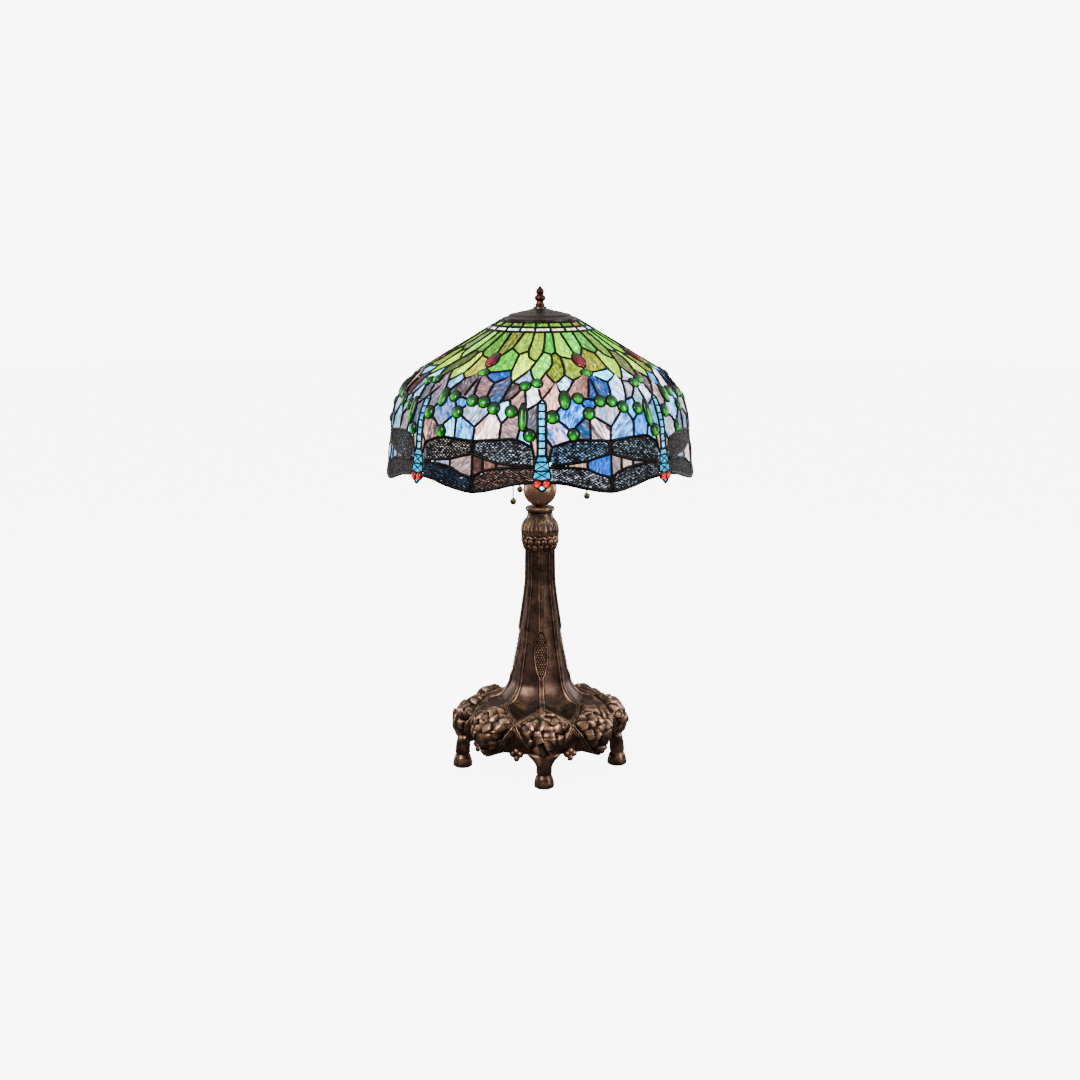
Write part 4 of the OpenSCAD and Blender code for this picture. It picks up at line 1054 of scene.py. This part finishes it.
def rock_relief(across, down, seed):
    """Broken lumps about 14 mm wide, each tilted and at its own height, with grooves between them."""
    local = np.random.default_rng(seed)
    spots = np.array([(x + LUMP_WIDTH / 2 * (k % 2), y) for k, y in enumerate(np.arange(-4, 118, LUMP_ROW))
                      for x in np.arange(-70, 71, LUMP_WIDTH)])
    spots = spots + local.uniform(-6.5, 6.5, spots.shape)
    tilt = local.uniform(-0.34, 0.34, spots.shape)
    level = local.uniform(-1.8, 1.6, len(spots))
    apart = np.hypot(across[..., None] - spots[:, 0], down[..., None] - spots[:, 1])
    order = np.argsort(apart, -1)[..., :2]
    near, second = np.take_along_axis(apart, order, -1).transpose(2, 0, 1)
    own = order[..., 0]
    lean = tilt[own, 0] * (across - spots[own, 0]) + tilt[own, 1] * (down - spots[own, 1])
    return level[own] + lean + 1.0 * (1 - (near / 9) ** 2) - 0.25 * ridge(second - near, 0, 1.4)


def lobe_relief(share, place, r, z, lobe):
    """Swell and fine relief over one lobe. share runs from -1 to 1 across it, place down the casting."""
    side = np.abs(share)
    across = share * r * math.pi / 8
    x = np.abs(across)
    flute = -0.10 * r * (1 - (1 - side) ** 2) * (1 - rise(place, 1.15, 1.8))
    rib = 1.2 * rise(4.3 - x, 0, 1.0) + 1.2 * ridge(x, 3.3, 0.8) + 0.5 * ridge(x, 0, 0.8)
    rib = rib * (1 - rise(place, 1.42, 1.5))
    if lobe % 2 == 0:
        pod, cover = pod_relief(across, z)
        rib = rib * (1 - cover) + pod
    t = place - 1.5
    rising, falling = np.clip(t / WIDEST, 0, 1) ** 0.8, np.clip((1 - t) / (1 - WIDEST), 0, 1) ** 0.65
    width = 0.99 * np.where(t < WIDEST, rising, falling)
    arch = r * math.pi / 8 * 0.8
    edge = (width - side) * arch
    frame = 2.0 * ridge(edge, -3.0, 1.0) + 2.2 * ridge(edge, 0.9, 1.2) + 1.3 * ridge(edge, -5.9, 0.9)
    frame = frame * rise(place, 1.38, 1.5)
    inner = np.maximum(width - 2.6 / arch, 1e-3)
    reach = np.clip(side / inner, 0, 1)
    inside = rise(edge, 2.4, 5.0)
    bulge = 11 * (1 - reach ** 2) ** 0.7 * np.sin(math.pi * np.clip(t, 0, 1)) ** 0.5 * (edge > 2.6)
    down = t * DIAMOND_DROP
    rock = rock_relief(across, down, lobe % 3) * (1.2 - 0.45 * rise(down, 54, 74))
    boss = inside * (rock - 0.6 * ridge(down, 66 - 4 * (side / 0.8) ** 2, 1.6))
    line = (1 - side) * r * math.pi / 8
    fan = 0.9 * (ridge(line, 1.6, 0.8) + ridge(line, 4.6, 0.8)) * rise(place, 1.65, 1.9) * (edge < -4)
    return flute + bulge, rib + frame + boss + fan


def casting_grid(places):
    """Radius, height and wear of the casting's outside, one row per place down it."""
    columns = LOBES * LOBE_COLUMNS
    share = np.tile(np.linspace(-1, 1, LOBE_COLUMNS, endpoint=False), LOBES)[None, :]
    places = places[:, None] + 0 * share
    low = rise(places, 2.1, 2.5)
    between = (1 - low) * share ** 2 + low * np.minimum(1, 2 * np.abs(share))
    (r0, z0), (r1, z1) = line_at(MIDDLE_LINE, places), line_at(SIDE_LINE, places)
    r, z = r0 + (r1 - r0) * between, z0 + (z1 - z0) * between
    swell, relief = np.zeros_like(r), np.zeros_like(r)
    for lobe in range(LOBES):
        own = slice(lobe * LOBE_COLUMNS, (lobe + 1) * LOBE_COLUMNS)
        swell[:, own], relief[:, own] = lobe_relief(share[:, own] + 0 * r[:, own], places[:, own], r[:, own],
                                                    z[:, own], lobe)
    slope = np.stack([np.gradient(r, axis=0), np.gradient(z, axis=0)])
    slope /= np.maximum(np.hypot(*slope), 1e-6)
    move = swell + relief
    wear = np.clip(0.36 + 0.30 * (relief - blurred(relief, 5, 6)) + 0.012 * blurred(move, 2, 2), 0.0, 1.0)
    angle = (np.arange(columns) / LOBE_COLUMNS - 0.5) * math.pi / 4
    return angle, r - slope[1] * move, z + slope[0] * move, wear


def build_casting(name, places, below, replaces):
    """A casting from its outside at places. below closes it round its inside: each step is a fixed
    (radius, height), or how far it lies from the lowest row."""
    angle, r, z, wear = casting_grid(places)
    inside = [(r[-1] - 0.4, z[-1])]
    for kind, a, b in below:
        base_r, base_z = (r[-1], z[-1]) if kind == "from" else (0 * r[-1], 0 * z[-1])
        inside.append((base_r + a, base_z + b))
    inner_r, inner_z = (np.stack(rows) for rows in zip(*inside))
    piece = Piece()
    closed_casting(piece, angle, np.vstack([r[:1] - 0.4, r, inner_r]), np.vstack([z[:1], z, inner_z]),
                   np.vstack([wear[:1], wear, np.full_like(inner_r, 0.15)]))
    piece.build(name, BRONZE, "lamp", "bronze", replaces)


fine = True
shaft_rows = np.concatenate([np.linspace(0, 0.585, 24), np.linspace(0.59, 0.94, 110 if fine else 40),
                             np.linspace(0.95, SEAM - 0.002, 24)])
build_casting("stem", shaft_rows, [("at", ROD_HOLE, 119), ("at", ROD_HOLE, 383)], ["stem_casting"])
build_casting("foot", np.linspace(SEAM + 0.002, 2.5, 150 if fine else 60),
              [("from", -5, 0.5), ("from", -12, 16), ("at", 98, 72), ("at", 88, 88), ("at", 60, 91),
               ("at", ROD_HOLE, 92), ("at", ROD_HOLE, 118.5)], ["base_casting", "base_lobes"])


def oval_stack(piece, rows, turn, **values):
    """A solid from ovals laid on each other: (height, distance from the axis, half sizes)."""
    angle = np.linspace(0, 2 * math.pi, 40, endpoint=False)
    rings = []
    for z, ring, half_across, half_out in rows:
        x, y = half_across * np.cos(angle), -ring + half_out * np.sin(angle)
        c, s = math.cos(turn), math.sin(turn)
        rings.append(np.stack([x * c - y * s, x * s + y * c, 0 * x + z], 1))
    piece.add(np.concatenate(rings), grid_faces(len(rows), len(angle), ends="capped"), **values)


LEG_ROWS = [(1.5, 133, 15.6, 15.6), (2.6, 133, 16.6, 16.6), (6, 133, 17.0, 17.0), (11, 133, 16.4, 16.2),
            (16, 133, 15.2, 14.8), (20.5, 133, 13.9, 13.5), (21.6, 133, 12.3, 12.0), (23.6, 133, 12.1, 11.8),
            (25, 133, 13.0, 12.8), (36, 132.5, 13.2, 12.6), (41, 132, 15.5, 12.4), (46, 131, 19, 12.2),
            (52, 130, 25, 12), (58, 129, 30, 11)]
DROPS_R = 117.0
legs, drops = Piece(), Piece()
for k in range(4):
    oval_stack(legs, LEG_ROWS, k * math.pi / 2, wear=0.5)
for k in range(LOBES):
    turn = (k + 0.5) * math.pi / 4
    basis = np.array([[math.cos(turn), math.sin(turn), 0], [math.sin(turn), -math.cos(turn), 0], [0, 0, 1]])
    for across, z, half in ((0, 43.5, 5.6), (-6.5, 50.5, 5.8), (6.5, 50.5, 5.8), (0, 55, 6.5)):
        ball(drops, np.array([across, DROPS_R, z]) @ basis, (half, half * 0.8, half), basis, 7, 14, wear=0.6)
legs.build("legs", BRONZE, "lamp", "bronze", ["base_legs"])
drops.build("drops", BRONZE, "lamp", "bronze", ["base_drops"])

CAPITAL_LINE = [
    (ROD_HOLE, 442), (21.2, 442), (21.5, 438), (23.5, 432.5), (27.5, 427), (30.5, 421), (32, 414),
    (31.6, 405), (30.6, 400), (30.2, 395), (29.3, 390), (27.6, 385), (25.8, 380), (24.2, 377.5),
    (22.5, 377), (ROD_HOLE, 377)]


def capital_relief(angle, z):
    """Sixteen petals above a wavy band above two rows of leaf tips."""
    petal = np.abs(np.sin(8 * angle))
    relief = 1.9 * (petal ** 0.6 - 0.6) * rise(z, 404, 408) * (1 - rise(z, 427, 434))
    relief = relief + 1.4 * ridge(z, 401 + 1.4 * np.sin(16 * angle), 1.4)
    for height, shift in ((393, 0.0), (383, 0.5)):
        step = (angle * 16 / (2 * math.pi) + shift) % 1 - 0.5
        leaf = np.clip(1 - (step / 0.42) ** 2 - ((z - height) / (6.0 - 3 * np.abs(step))) ** 2, 0, 1)
        relief = relief + 2.3 * np.sqrt(leaf) - 0.7 * ridge(step, 0, 0.06) * (leaf > 0)
    return relief


def lathe_casting(piece, line, columns=192, rows=80, relief=None, wear=0.5):
    """A solid turned from a closed line of (radius, height) points, with relief pushed outwards."""
    line = np.array(line, float)
    length = np.concatenate([[0], np.cumsum(np.hypot(*np.diff(line, axis=0).T))])
    at = np.linspace(0, length[-1], rows)
    r, z = (np.interp(at, length, line[:, i])[:, None] + np.zeros(columns) for i in (0, 1))
    angle = np.arange(columns) * 2 * math.pi / columns
    bumps = np.zeros_like(r) if relief is None else relief(angle[None, :], z) * (r > 15)
    wear = np.clip(wear + 0.3 * (bumps - blurred(bumps, 3, 4)), 0, 1)
    closed_casting(piece, angle, r + bumps, z, wear)


RING_R, RING_Z, RING_HALF = 20.3, 448, 4.6
BALL_R, BALL_Z, BALL_FLAT = 28.2, 480, 26.6  # BALL_FLAT: from the middle to the flats at top and bottom
capital, neck, knob = Piece(), Piece(), Piece()
lathe_casting(capital, CAPITAL_LINE, 384, 120, capital_relief)
capital.build("capital", BRONZE, "lamp", "bronze", ["stem_capital"])
bow = np.linspace(math.pi / 2, -math.pi / 2, 15)
lathe_casting(neck, [(ROD_HOLE, RING_Z + RING_HALF)]
              + [(RING_R + RING_HALF * math.cos(t), RING_Z + RING_HALF * math.sin(t)) for t in bow]
              + [(ROD_HOLE, RING_Z - RING_HALF)], wear=0.6)
neck.build("neck_torus", BRONZE, "lamp", "bronze", ["neck_ring"])
bow = np.arccos(np.linspace(BALL_FLAT, -BALL_FLAT, 40) / BALL_R)
# A wear of 1.0 makes the globe bright all over: painted sheen standing in for the light of the lit shade
# above it, on top of its rubbed finish.
lathe_casting(knob, [(ROD_HOLE, BALL_Z + BALL_FLAT)]
              + [(BALL_R * math.sin(t), BALL_Z + BALL_R * math.cos(t)) for t in bow]
              + [(ROD_HOLE, BALL_Z - BALL_FLAT)], wear=1.0)
knob.build("neck_globe", BRONZE, "lamp", "bronze", ["neck_ball"])

# ---------------------------------------------------------------------------
# CAD pieces that are shown as they are, with their finish
# ---------------------------------------------------------------------------

FINISH = {
    "felt": plain("felt", (0.02, 0.024, 0.02), 0.95, 900.0),
    "bronze": BRONZE, "dark_bronze": DARK_BRONZE, "brass": BRASS, "aged_brass": AGED_BRASS,
    "black_plastic": plain("black_plastic", (0.02, 0.02, 0.02), 0.5, 400.0),
    "liner_card": plain("liner_card", "7a5c40", 0.85, 500.0),
    "bulb_metal": plain("bulb_metal", "c8c4bc", 0.3, 300.0, metallic=0.9),
    "filament": plain("filament", "c8b070", 0.4, 300.0, metallic=0.8),
    "bulb_glass": plain("bulb_glass", (0.95, 0.90, 0.80), 0.25, 120.0, Emission_Color=(1.0, 0.86, 0.62),
                        Emission_Strength=14.0),
}
slot_of = {s["node"]: s["material_slot"] for s in frame["record"]["subparts"]}
for name, node in frame["nodes"].items():
    if not node.hide_render:
        node.data.materials.clear()
        node.data.materials.append(FINIAL_BRONZE if name == "finial" else FINISH[slot_of[name]])

# ---------------------------------------------------------------------------
# Floor, light and camera
# ---------------------------------------------------------------------------


FLOOR_GLOW, ROOM_GLOW = 7.4, 8.5


def floor_material():
    nodes = material_nodes("floor")
    grain = nodes.noise(nodes.place(), 3.0, 4.0)
    nodes.set(Base_Color=nodes.ramp(grain, [(0.3, 0.80), (0.7, 0.84)]), Roughness=0.6,
              Emission_Color=(1, 1, 1), Emission_Strength=FLOOR_GLOW)
    return nodes.owner


def build_floor(radius=9.0, points=96):
    """A wide pale disc. It is as bright as the room behind it, and does not light the lamp from below."""
    turn = np.linspace(0, 2 * math.pi, points, endpoint=False)
    mesh = bpy.data.meshes.new("floor")
    rim = [(radius * math.cos(t), radius * math.sin(t), 0.0) for t in turn]
    mesh.from_pydata(rim, [], [tuple(range(points))])
    mesh.materials.append(floor_material())
    floor = bpy.data.objects.new("floor", mesh)
    floor.visible_diffuse = False
    floor.visible_glossy = False
    bpy.context.scene.collection.objects.link(floor)


def build_world():
    """A white room: it looks plain white, and it lights the lamp softly from above and hardly from below."""
    world = bpy.data.worlds.new("world")
    nodes = Nodes(world)
    direction = nodes.add("TexCoord").outputs["Generated"]
    height = nodes.add("SeparateXYZ", {"Vector": direction}).outputs["Z"]
    power = nodes.add("MapRange", {"Value": height, "From Min": -0.3, "From Max": 0.9,
                                   "To Min": 0.12, "To Max": 0.8})
    lit = nodes.add("Background", {"Color": (1, 1, 1), "Strength": power.outputs["Result"]})
    seen = nodes.add("Background", {"Color": (1, 1, 1), "Strength": ROOM_GLOW})
    by_camera = nodes.add("LightPath").outputs["Is Camera Ray"]
    both = nodes.add("MixShader", {0: by_camera, 1: lit.outputs[0], 2: seen.outputs[0]})
    nodes.feed(nodes.tree.nodes["World Output"].inputs["Surface"], both.outputs[0])
    bpy.context.scene.world = world


def area_light(name, place, target_height, size, power):
    data = bpy.data.lights.new(name, "AREA")
    data.shape = "RECTANGLE"
    data.size, data.size_y = size
    data.energy = power
    light = bpy.data.objects.new(name, data)
    light.location = place
    aim = Vector((0, 0, target_height)) - light.location
    light.rotation_euler = aim.to_track_quat("-Z", "Y").to_euler()
    bpy.context.scene.collection.objects.link(light)


build_floor()
build_world()
area_light("key", (-1.5, -2.0, 1.9), 0.35, (0.8, 1.4), 70)
area_light("fill", (2.2, -1.4, 1.2), 0.35, (0.7, 1.6), 36)
area_light("rim_left", (-2.0, 1.2, 1.0), 0.3, (0.5, 1.8), 18)
area_light("rim_right", (2.0, 1.4, 1.0), 0.3, (0.5, 1.8), 18)

# The photograph was taken from 3.31 m away and 0.97 m up, looking 9.8 degrees down, a little left of the
# front foot.
CAMERA_DISTANCE, CAMERA_HEIGHT = 3.314, 0.967
CAMERA_TURN, CAMERA_FALL = math.radians(-2.96), math.radians(9.81)
camera_data = bpy.data.cameras.new("camera")
camera_data.lens = 66.27
camera_data.sensor_width = 36
camera = bpy.data.objects.new("camera", camera_data)
camera.location = (CAMERA_DISTANCE * math.sin(CAMERA_TURN), -CAMERA_DISTANCE * math.cos(CAMERA_TURN),
                   CAMERA_HEIGHT)
camera.rotation_euler = (math.pi / 2 - CAMERA_FALL, 0, CAMERA_TURN)
bpy.context.scene.collection.objects.link(camera)
bpy.context.scene.camera = camera
